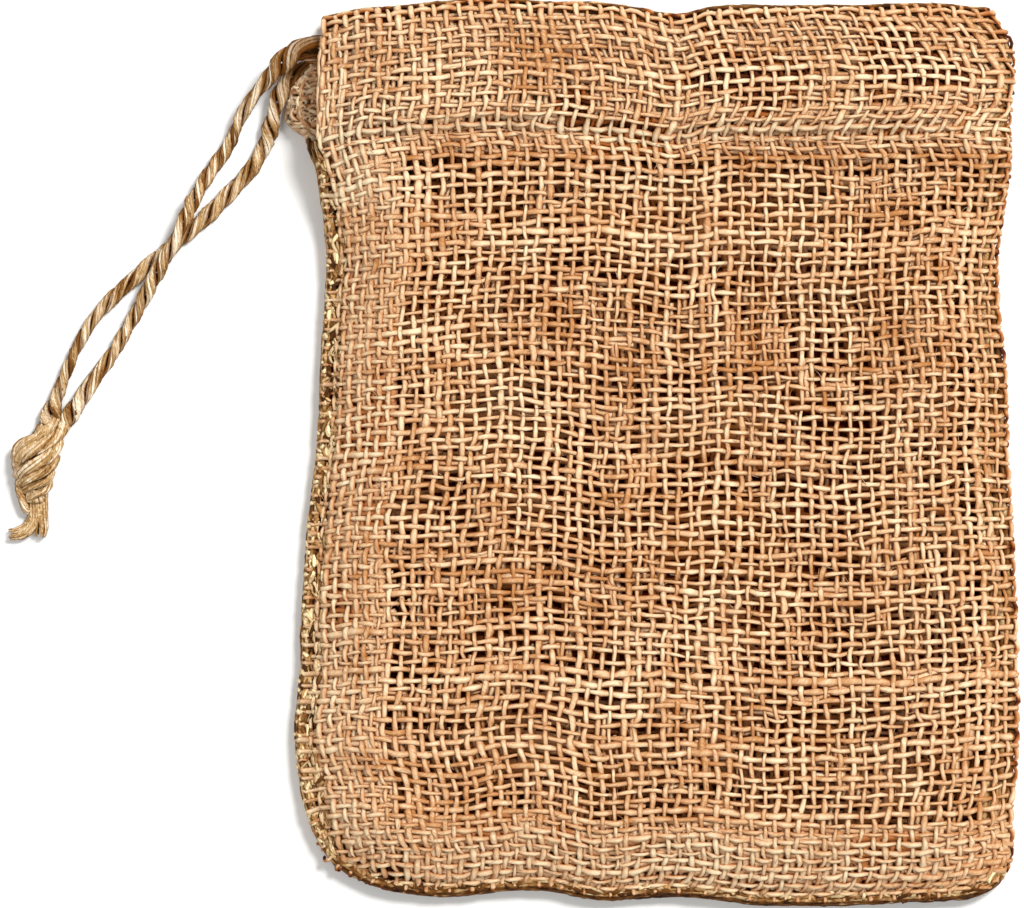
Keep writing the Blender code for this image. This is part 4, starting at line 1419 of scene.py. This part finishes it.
@dataclass
class Cloth:
    """The burlap: every warp and weft yarn of the one folded and sewn piece."""

    surface: SackSurface
    weave: Weave
    finish: Material
    pressed_and_shaded: Material
    allowance_side: float = 14.0
    allowance_bottom: float = 12.0
    hairs: int = 2300
    fillers: int = 2600
    clear_of_fold: float = 1.5
    clear_of_top: float = 2.5
    stitch_length: float = 5.2

    def make(self) -> list[Object]:
        """Weave the cloth's pieces.

        Returns:
            The weft and the pieces that go with it.
        """
        seam = SeamEdge(self.weave, self.pressed_and_shaded)
        warp = self.make_warp(seam)
        weft = self.make_weft()
        fuzz = self.fuzz()
        stitches = self.stitches()
        edge = seam.make()
        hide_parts("sack_cloth")
        return [weft, warp, fuzz, stitches, edge]

    def fresh_tubes(self) -> tuple[Tubes, Tubes]:
        """Give empty tubes for the front's yarns and for the rest, which has fewer sides."""
        return Tubes(6, uneven=0.19, flatten=0.25, speckle=0.09), Tubes(4, 0.1, flatten=0.2)

    def make_warp(self, seam: SeamEdge) -> Object:
        """Lay the warp, the back sheet's end and the hem's loosened yarns in the casing.

        Args:
            seam: the edge that gives the back sheet's end.

        Returns:
            The warp.
        """
        weave, (front, rest) = self.weave, self.fresh_tubes()
        columns, fold, turn = len(weave.columns), weave.fold_column, weave.turn_row
        weave.lay_yarns(front, Lay.WARP, range(fold + 1), 0, turn + 1, True, 11)
        weave.lay_yarns(rest, Lay.WARP, range(fold + 1, columns), 0, turn + 1, False, 12, 0.7)
        weave.lay_yarns(rest, Lay.WARP, range(columns), turn, len(weave.rows), False, 13, 0.3)
        seam.add_tab(rest, np.random.default_rng(28))
        hem = Band(range(fold - 1), range(weave.row_at(57.5), turn - 2), 0.8, (1.05, 0.85), 1.1,
                   0.2, 1.9)
        weave.lay_band(rest, Lay.WARP, hem, 26)
        self.fill_casing_end(rest)
        weave.lay_band(rest, Lay.WEFT, hem, 36)
        return make_piece("cloth_warp", [front, rest], self.finish)

    def make_weft(self) -> Object:
        """Lay the weft and both layers of the seam allowances, at the left and the bottom.

        Returns:
            The weft.
        """
        weave, (front, rest) = self.weave, self.fresh_tubes()
        columns, fold, turn = len(weave.columns), weave.fold_column, weave.turn_row
        weave.lay_yarns(front, Lay.WEFT, range(turn + 1), 0, fold + 1, True, 14)
        weave.lay_yarns(rest, Lay.WEFT, range(turn + 1), fold, columns, False, 15, 0.7)
        weave.lay_yarns(rest, Lay.WEFT, range(turn + 1, len(weave.rows)), 0, columns, False, 16,
                        0.3)
        side = int(np.searchsorted(weave.columns, self.allowance_side))
        low = int(np.searchsorted(weave.rows, self.allowance_bottom))
        top = weave.row_at(56.0)
        under_stitches = range(weave.row_at(53.5), weave.row_at(58.0))
        bands = (
            Band(range(side), range(2, top), 0.52, (1.0, 0.85)),
            Band(range(side - 1), range(2, top), 1.6, (0.3, 0.2)),
            Band(range(side, fold), range(low), 0.48, (1.0, 0.8)),
            Band(range(side, fold), range(low - 1), 1.6, (0.2, 0.3)),
            Band(range(fold), under_stitches, 0.7, (1.0, 0.85), inside=0.4),
        )
        for lay, seed in ((Lay.WARP, 21), (Lay.WEFT, 31)):
            for number, band in enumerate(bands):
                weave.lay_band(rest, lay, band, seed + number)
        return make_piece("cloth_weft", [front, rest], self.finish)

    def fill_casing_end(self, tubes: Tubes) -> None:
        """Add the crowded yarns that close the casing's left end.

        Args:
            tubes: where they go.
        """
        rng, surface = np.random.default_rng(27), self.surface
        r = np.arange(59.0 - BOTTOM_Y, surface.sheet_length - 0.6, 0.9)
        for place in (0.5, 1.4, 2.3, 3.4, 4.4):
            wave = sways(rng, len(r), len(r) // 4, 3)
            c = place + 0.35 * wave[:, 0]
            normal = surface.normal(c, r)
            route = surface.at(c, r)[:, :3] + normal * (0.32 * wave[:, 1:2] - 0.05)
            # with a little painted shade
            tubes.add(route, 0.36 * (1 + 0.2 * wave[:, 2]), normal,
                      rng.normal(0.6, 0.08) + 0.15 * wave[:, 1], 0.15)

    def fuzz(self) -> Object:
        """Add what shows in and over the cells: yarn just inside the front, and fine hairs on it.

        Returns:
            The fibres, as one piece.
        """
        rng = np.random.default_rng(41)
        tubes = Tubes(4, 0.45, flatten=0.2)
        for _ in range(self.fillers):
            self.add_filler(tubes, rng)
        for _ in range(self.hairs):
            self.add_hair(tubes, rng)
        return make_piece("loose_fibres", [tubes], self.finish)

    def add_filler(self, tubes: Tubes, rng: Random) -> None:
        """Add a stretch of yarn under the front where the weave is crowded.

        Args:
            tubes: where it goes.
            rng: seeded source of the numbers.
        """
        surface, weave = self.surface, self.weave
        index = int(rng.integers(0, weave.fold_column - 1))
        row = int(rng.integers(3, weave.turn_row - 9))
        if weave.crowd[index, row] < rng.normal(0.15, 0.3):
            return
        upright = rng.random() < 0.62
        reach = int(rng.integers(2, 6 if upright else 4))
        at = (index, slice(row, row + reach)) if upright else (slice(index, index + reach), row)
        shift = rng.uniform(0.75, 1.45)
        c = weave.c[at] + (shift if upright else 0.0)
        r = weave.r[at] + (0.0 if upright else shift * 0.8)
        spots, normal = surface.at(c, r), surface.normal(c, r)
        beyond = c.max() > surface.width / 2 - self.clear_of_fold
        if len(c) < 2 or spots[:, INSIDE].min() < 0.8 or beyond:
            return
        route = spots[:, :3] - normal * rng.choice([0.3, 0.8, 1.0], p=[0.2, 0.4, 0.4])
        route = np.vstack([route, route[-1] + (route[-1] - route[-2]) * 0.4])
        # Darker than the front, with some painted shade, as it lies under it
        tone = rng.normal(0.36, 0.12) + rng.normal(0, 0.1, len(route))
        radius = rng.uniform(0.42, 0.68) * (1 + rng.normal(0, 0.12, len(route)))
        tubes.add(route, radius, np.vstack([normal, normal[-1:]]), tone, rng.uniform(0.0, 0.4))

    def add_hair(self, tubes: Tubes, rng: Random) -> None:
        """Add a fine hair that stands off a yarn of the front.

        Args:
            tubes: where it goes.
            rng: seeded source of the numbers.
        """
        surface, weave = self.surface, self.weave
        at = tuple(int(rng.integers(0, size)) for size in (weave.fold_column, weave.turn_row))
        upright = rng.random() < 0.55
        near, far = rng.normal(0, 0.32), rng.uniform(-1.0, 1.0)
        c = weave.c[at] + (near if upright else far)
        r = weave.r[at] + (far if upright else near)
        start, normal = surface.at(c, r), surface.normal(c, r)
        by_fold = c > surface.width / 2 - self.clear_of_fold
        by_top = start[UP] > surface.sheet_length - self.clear_of_top
        if start[INSIDE] < 0.6 or by_fold or by_top:
            return
        heading = rng.normal(math.pi / 2 if upright else 0.0, 0.45)
        along = np.array([math.cos(heading), math.sin(heading), 0.0])
        bend = np.array([-along[1], along[0], 0.0]) * rng.normal(0, 0.35)
        length = rng.uniform(0.7, 2.4)
        t = np.linspace(0, 1, 4)[:, None]
        lift = 0.5 + rng.uniform(0.0, 0.25) * np.sin(t * rng.uniform(1.5, 3.0))
        route = start[:3] + along * length * (t - 0.5) + bend * length * t**2 + normal * lift
        radius = rng.uniform(0.03, 0.055) * np.array([1.0, 1.0, 0.8, 0.4])
        # with a little painted shade
        tubes.add(route, radius, normal, rng.uniform(0.2, 0.8), 0.3)

    def stitches(self) -> Object:
        """Sew the running stitches that hold the hem, under the casing.

        Returns:
            The thread, as one piece.
        """
        rng, surface, tubes = np.random.default_rng(51), self.surface, Tubes(6)
        c = np.arange(1.0, surface.width / 2 - 1.0, 0.55)
        r = STITCH_Y + 0.4 - BOTTOM_Y + 0.35 * sways(rng, len(c), 24, 2)[:, 0]
        normal = surface.normal(c, r)
        wave = np.clip(np.sin(c * 2 * math.pi / self.stitch_length) + 0.45, -0.7, 0.5)
        route = surface.at(c, r)[:, :3] + normal * (0.08 + wave * 0.6)[:, None]
        # with a little painted shade, down in the crease
        tubes.add(route, 0.24, normal, 0.5, 0.3)
        return make_piece("casing_stitches", [tubes], self.finish)


def side_frames(line: Array) -> tuple[Array, Array]:
    """Give level and rising directions square to a line.

    Args:
        line: its points.

    Returns:
        Unit vectors to the side, and unit vectors upwards, at each point.
    """
    along = np.gradient(line, axis=0)
    along /= np.maximum(np.linalg.norm(along, axis=1, keepdims=True), 1e-9)
    side = np.cross(along, UPWARDS)
    side /= np.maximum(np.linalg.norm(side, axis=1, keepdims=True), 1e-9)
    return side, np.cross(side, along)


@dataclass
class Strand:
    """A run of two-ply jute twine."""

    name: str
    route: tuple | Array
    node: str
    seed: int
    widths: tuple = ((0.0, 1.0), (1.0, 1.0))
    pitch: float = 9.6
    radius: float = 1.22
    flat: float = 0.82
    bundles: int = 13
    outer_share: float = 0.7
    fan: float = 66.0
    turn: float = 0.0
    untwisted: float = 0.0
    # deep: painted shade over the whole strand
    deep: float = 0.0

    def line(self) -> Array:
        """Give the middle line, in millimetres."""
        return spaced(self.route, 0.5)

    def make(self, finish: Material) -> Object:
        """Wind both plies' fibre bundles about the line.

        Args:
            finish: the twine's material.

        Returns:
            The strand.
        """
        line, tubes, rng = self.line(), Tubes(6), np.random.default_rng(self.seed)
        run, count = run_along(line), len(line)
        sway = 0.9 * sways(rng, count, int(run[-1] / 10), 2)[:, 0]
        patch = sways(rng, count, int(run[-1] / 4), 4)
        width = np.interp(run, *np.array(self.widths).T) * (1 + 0.12 * patch[:, 0])
        twisted = run - self.untwisted * (1 - np.exp(-run / max(self.untwisted, 0.01)))
        for ply in range(2):
            turn = self.turn + 2 * math.pi * twisted / self.pitch + math.pi * ply + sway
            for bundle in range(self.bundles):
                self.add_bundle(tubes, rng, line, turn, width, bundle, patch[:, 1 + ply])
        return make_piece(self.name, [tubes], finish, self.node)

    def add_bundle(self, tubes: Tubes, rng: Random, line: Array, turn: Array, width: Array,
                   bundle: int, patch: Array) -> None:
        """Lay one bundle of a ply: most fan out over its outer face, and thicker ones fill it.

        Args:
            tubes: where it goes.
            rng: seeded source of the numbers.
            line: the twine's middle line.
            turn: the ply's angle about the line at each point.
            width: how wide the twine lies at each point, as a share of its usual width.
            bundle: the bundle's number.
            patch: how pale the ply is at each point.
        """
        side, up = side_frames(line)
        run, count = run_along(line), len(line)
        outer = bundle < self.bundles * self.outer_share
        places = np.linspace(-1, 1, math.ceil(self.bundles * self.outer_share))
        spread = places[bundle] if outer else rng.uniform(-0.6, 0.6)
        wave = sways(rng, count, count // 10, 4)
        own = turn + math.radians(self.fan) * spread + 0.12 * wave[:, 0]
        reach = self.radius * ((0.86 - 0.16 * spread**2 if outer else 0.5) + 0.05 * wave[:, 3])
        route = (line + side * (np.cos(own) * reach * width)[:, None]
                 + up * (np.sin(own) * reach * self.flat)[:, None])
        thick = self.radius * (0.19 + 0.03 * wave[:, 1]) * math.exp(rng.normal(0, 0.18))
        thick = thick * np.maximum(0.62 + 0.38 * width, 1.0) * (1.0 if outer else 1.5)
        route[:, 2] = np.maximum(route[:, 2], thick * 0.9)
        tone = rng.normal(0.5, 0.15) + 0.12 * wave[:, 2] + 0.16 * patch
        # Painted shade on the outer bundles at the ply's edges, over the filling bundles inside,
        # and where the strand comes out of the casing
        deep = self.deep + (0.7 * abs(spread) ** 4 if outer else 0.9) + 0.8 * hill(run, 0.0, 10.0)
        tubes.add(route, np.clip(thick, 0.12, 0.62), up, tone, deep)


@dataclass
class Knot:
    """The overhand knot that joins the drawstring's ends, and the two cut tails below it."""

    finish: Material
    slim: float = 1.5
    tail_half_width: float = 1.42
    tail_half_height: float = 0.95
    tail_bundles: int = 23
    frayed: float = 0.4

    def turns(self) -> Object:
        """Wind the knot's turns round each other, the slimmer ones with their ends tucked under.

        Returns:
            The knot.
        """
        rng, tubes = np.random.default_rng(61), Tubes(6)
        for half_width, half_height, bundles, twist, route in KNOT_TURNS:
            if half_width < self.slim:
                start, end = ((0.72 * x + 0.28 * KNOT_MIDDLE_X, y - 0.15, 0.75)
                              for x, y, _ in (route[0], route[-1]))
                route = (start, *route, end)
            self.lay_bundles(tubes, spaced(route, 0.45), rng, (half_width, half_height), bundles,
                             twist)
        return make_piece("knot", [tubes], self.finish, "drawstring_knot")

    def tail(self, name: str, route: tuple, node: str, seed: int) -> Object:
        """Lay one cut end, its fibres running out unevenly.

        Args:
            name: name of the piece.
            route: its middle line.
            node: the solid that it stands for.
            seed: seed of its fibres.

        Returns:
            The tail.
        """
        tubes, knots = Tubes(6), np.array(route)
        knots[0] += (knots[0] - knots[1]) * 0.3
        halves = (self.tail_half_width, self.tail_half_height)
        self.lay_bundles(tubes, spaced(knots, 0.4), np.random.default_rng(seed), halves,
                         self.tail_bundles, 0.1, self.frayed)
        return make_piece(name, [tubes], self.finish, node)

    def lay_bundles(self, tubes: Tubes, line: Array, rng: Random, halves: tuple[float, float],
                    bundles: int, twist: float, frayed: float = 0.0) -> None:
        """Lay a flattened handful of fibre bundles along a line, one in its middle.

        Args:
            tubes: where the bundles go.
            line: the middle line.
            rng: seeded source of the numbers.
            halves: half its width and half its height.
            bundles: how many bundles it has.
            twist: turns over its length.
            frayed: how unevenly its bundles end, in millimetres.
        """
        side, up = side_frames(line)
        run, count = run_along(line), len(line)
        thick = math.sqrt(halves[0] * halves[1] / bundles) * 1.15
        wide, high = (half - thick * 0.8 for half in halves)
        for bundle in range(bundles):
            around = bundle / (bundles - 1) + twist * run / run[-1]
            own = 2 * math.pi * around + rng.normal(0, 0.15)
            wave = sways(rng, count, count // 10, 3)
            out = (0.8 + 0.1 * wave[:, 0]) * (bundle > 0)
            route = (line + side * (np.cos(own) * out * wide)[:, None]
                     + up * (np.sin(own) * out * high)[:, None])
            radius = thick * (1 + 0.13 * wave[:, 1])
            tone = rng.normal(0.43, 0.12) + 0.1 * wave[:, 2] + rng.normal(0, 0.07, count)
            last = count
            if frayed:
                last = max(4, count - int(rng.uniform(0, frayed) / 0.4 * 2))
                radius = radius * np.clip((last - np.arange(count)) / 5.0, 0.45, 1.0)
            route[:, 2] = np.maximum(route[:, 2], radius)
            tubes.add(route[:last], radius[:last], up[:last], tone[:last])


@dataclass
class Drawstring:
    """The jute twine through the casing: two free strands, the knot and tails, and the held run."""

    finish: Material
    held_gap: float = 6.38

    def make(self) -> None:
        """Lay every run of the twine, the free strands first."""
        knot = Knot(self.finish)
        upper = Strand("twine_upper", UPPER_STRAND, "drawstring_upper", 3, UPPER_WIDTHS, turn=0.3,
                       untwisted=7.0)
        lower = Strand("twine_lower", LOWER_STRAND, "drawstring_lower", 4, LOWER_WIDTHS, turn=2.0,
                       untwisted=5.0)
        strands = [(strand, strand.make(self.finish)) for strand in (upper, lower)]
        turns = knot.turns()
        toe = knot.tail("tail_toe_end", TOE_TAIL, "tail_toe", 62)
        heel = knot.tail("tail_heel_end", HEEL_TAIL, "tail_heel", 63)
        for strand, piece in strands:
            line = strand.line() * MM
        # The held twine lies inside the casing, so it takes painted shade
        held = Strand("twine_in_casing", self.held_line(), "drawstring_held", 5, bundles=5,
                      deep=0.55)
        held.make(self.finish)

    def held_line(self) -> Array:
        """Trace the twine inside the casing: along the front, round the fold and along the back.

        Returns:
            Its points, in millimetres.
        """
        share = np.linspace(0, 1, round(SPAN_X / self.held_gap) + 1)
        across = CORD_MARGIN + (SPAN_X - CORD_MARGIN) * share
        level = np.full_like(across, CASING_CORD_Y)
        x, y = plan(across, level)
        depth = (TUNNEL + WALL) / 2
        rise = WALL / 2 + front_height(across, level, x, y) - depth
        front = np.stack([x, y, rise], axis=1)
        back = np.stack([x, y, np.full_like(x, WALL / 2 + depth)], axis=1)
        arc = fold_arc(front[-1], back[-1], 7, float(roll_right(CASING_CORD_Y)) - depth)
        return np.vstack([front, arc, back[::-1]])


@dataclass
class Studio:
    """Pale floor, soft lights, and the camera straight above.

    A dark card under the sack, smaller than it, is painted shade: it stands for the deep shade
    under the cloth and keeps its open holes dark.
    """

    centre: tuple[float, float] = (-0.0253, 0.0)
    view_width: float = 0.1843
    lens: float = 250.0
    sensor: float = 36.0
    focus_height: float = 0.005
    floor_half: float = 3.0
    card_inset: float = 2.2
    card_height: float = 0.02
    lights: tuple = (("key", (0.85, 1.0, 1.6), 0.7, 52.0), ("fill", (-0.9, -0.9, 1.5), 1.4, 13.0))
    sky: float = 0.4

    def make(self) -> None:
        """Add the camera, the floor, the card and the lights."""
        camera = bpy.data.cameras.new("overhead")
        camera.lens, camera.sensor_width = self.lens, self.sensor
        obj = put("overhead", camera)
        height = self.view_width * self.lens / self.sensor + self.focus_height
        obj.location = (*self.centre, height)
        bpy.context.scene.camera = obj
        floor = bmesh.new()
        bmesh.ops.create_grid(floor, x_segments=2, y_segments=2, size=self.floor_half)
        self.board("floor", floor, "matt white board", "#f2f1ee", 0.9, 0.5)
        card = bmesh.new()
        card.faces.new([card.verts.new(corner) for corner in self.card_outline()])
        bmesh.ops.triangulate(card, faces=card.faces)
        # The card's dark colour is painted shade for the sack's open holes
        self.board("painted_shade_card", card, "matt card of painted shade", "#64200a", 1.0, 0.0)
        for name, place, size, watts in self.lights:
            light = bpy.data.lights.new(name, "AREA")
            light.shape, light.size, light.energy = "DISK", size, watts
            lamp = put(name, light)
            lamp.location = place
            lamp.rotation_euler = (-Vector(place)).to_track_quat("-Z", "Y").to_euler()
        world = bpy.data.worlds.new("studio")
        world.use_nodes = True
        world.node_tree.nodes["Background"].inputs[0].default_value = (1.0, 1.0, 1.0, 1.0)
        world.node_tree.nodes["Background"].inputs[1].default_value = self.sky
        bpy.context.scene.world = world
        bpy.context.scene.view_settings.view_transform = "Standard"

    def board(self, name: str, shape: bmesh.types.BMesh, paint_name: str, colour: str,
              roughness: float, shine: float) -> Object:
        """Paint a flat board.

        Args:
            name: name of the object.
            shape: the board in metres, which is freed.
            paint_name: name of the paint.
            colour: sRGB hex colour.
            roughness: of the paint.
            shine: specular level of the paint.

        Returns:
            The board.
        """
        mesh = bpy.data.meshes.new(name)
        shape.to_mesh(mesh)
        shape.free()
        paint, _ = new_material(paint_name, {
            "Base Color": linear(colour),
            "Roughness": roughness,
            "Specular IOR Level": shine,
        })
        mesh.materials.append(paint)
        return put(name, mesh)

    def card_outline(self) -> list[tuple[float, float, float]]:
        """Trace the sack's outline, a little inside it.

        Returns:
            The card's corners, in metres.
        """
        inset = self.card_inset
        y = np.linspace(BOTTOM_Y + inset + 14.0, TOP_Y - 3.0, 30)
        left = smooth(LEFT_EDGE, y) + inset - smooth(BACK_TAB, y) * 1.35
        right = smooth(RIGHT_EDGE, y) - roll_right(y) - 0.6
        x = np.linspace(LEFT_X + inset + 10.0, RIGHT_X - inset - 6.0, 20)
        x_top = np.linspace(LEFT_X + inset + 3.0, RIGHT_X - 9.0, 20)[::-1]
        points = [*zip(left[::-1], y[::-1]), *zip(x, smooth(BOTTOM_EDGE, x) + inset),
                  *zip(right, y), *zip(x_top, smooth(TOP_EDGE, x_top) - 2.0)]
        return [(px * MM, py * MM, self.card_height * MM) for px, py in points]


def main() -> None:
    """Build the studio, the twine and the cloth, in that order."""
    logging.basicConfig(level=logging.INFO, format="%(message)s")
    Studio().make()
    # Each finish: pale, usual and dark tones, the painted shade colour and the painted dark of a
    # gap; the seam's finish is a darker copy of the burlap's, partly painted shade
    colours = {
        "jute twine": ("#f8ead0", "#c19b66", "#6a4012", "#653806", "#331703"),
        "jute burlap yarn": ("#ecdab4", "#dbb388", "#b27a46", "#a45d26", "#4f1f06"),
        "jute yarn pressed in the seam": ("#f6e2b0", "#c0935a", "#7c5020", "#6a4015", "#2e1504"),
    }
    twine, burlap, pressed_and_shaded = (JuteFinish(name, *tones).make() for name, tones in colours.items())
    Drawstring(twine).make()
    surface = SackSurface()
    log.info("cloth %.1f wide, %.1f long", surface.width, surface.length)
    Cloth(surface, Weave(surface), burlap, pressed_and_shaded).make()


if __name__ == "__main__":
    main()
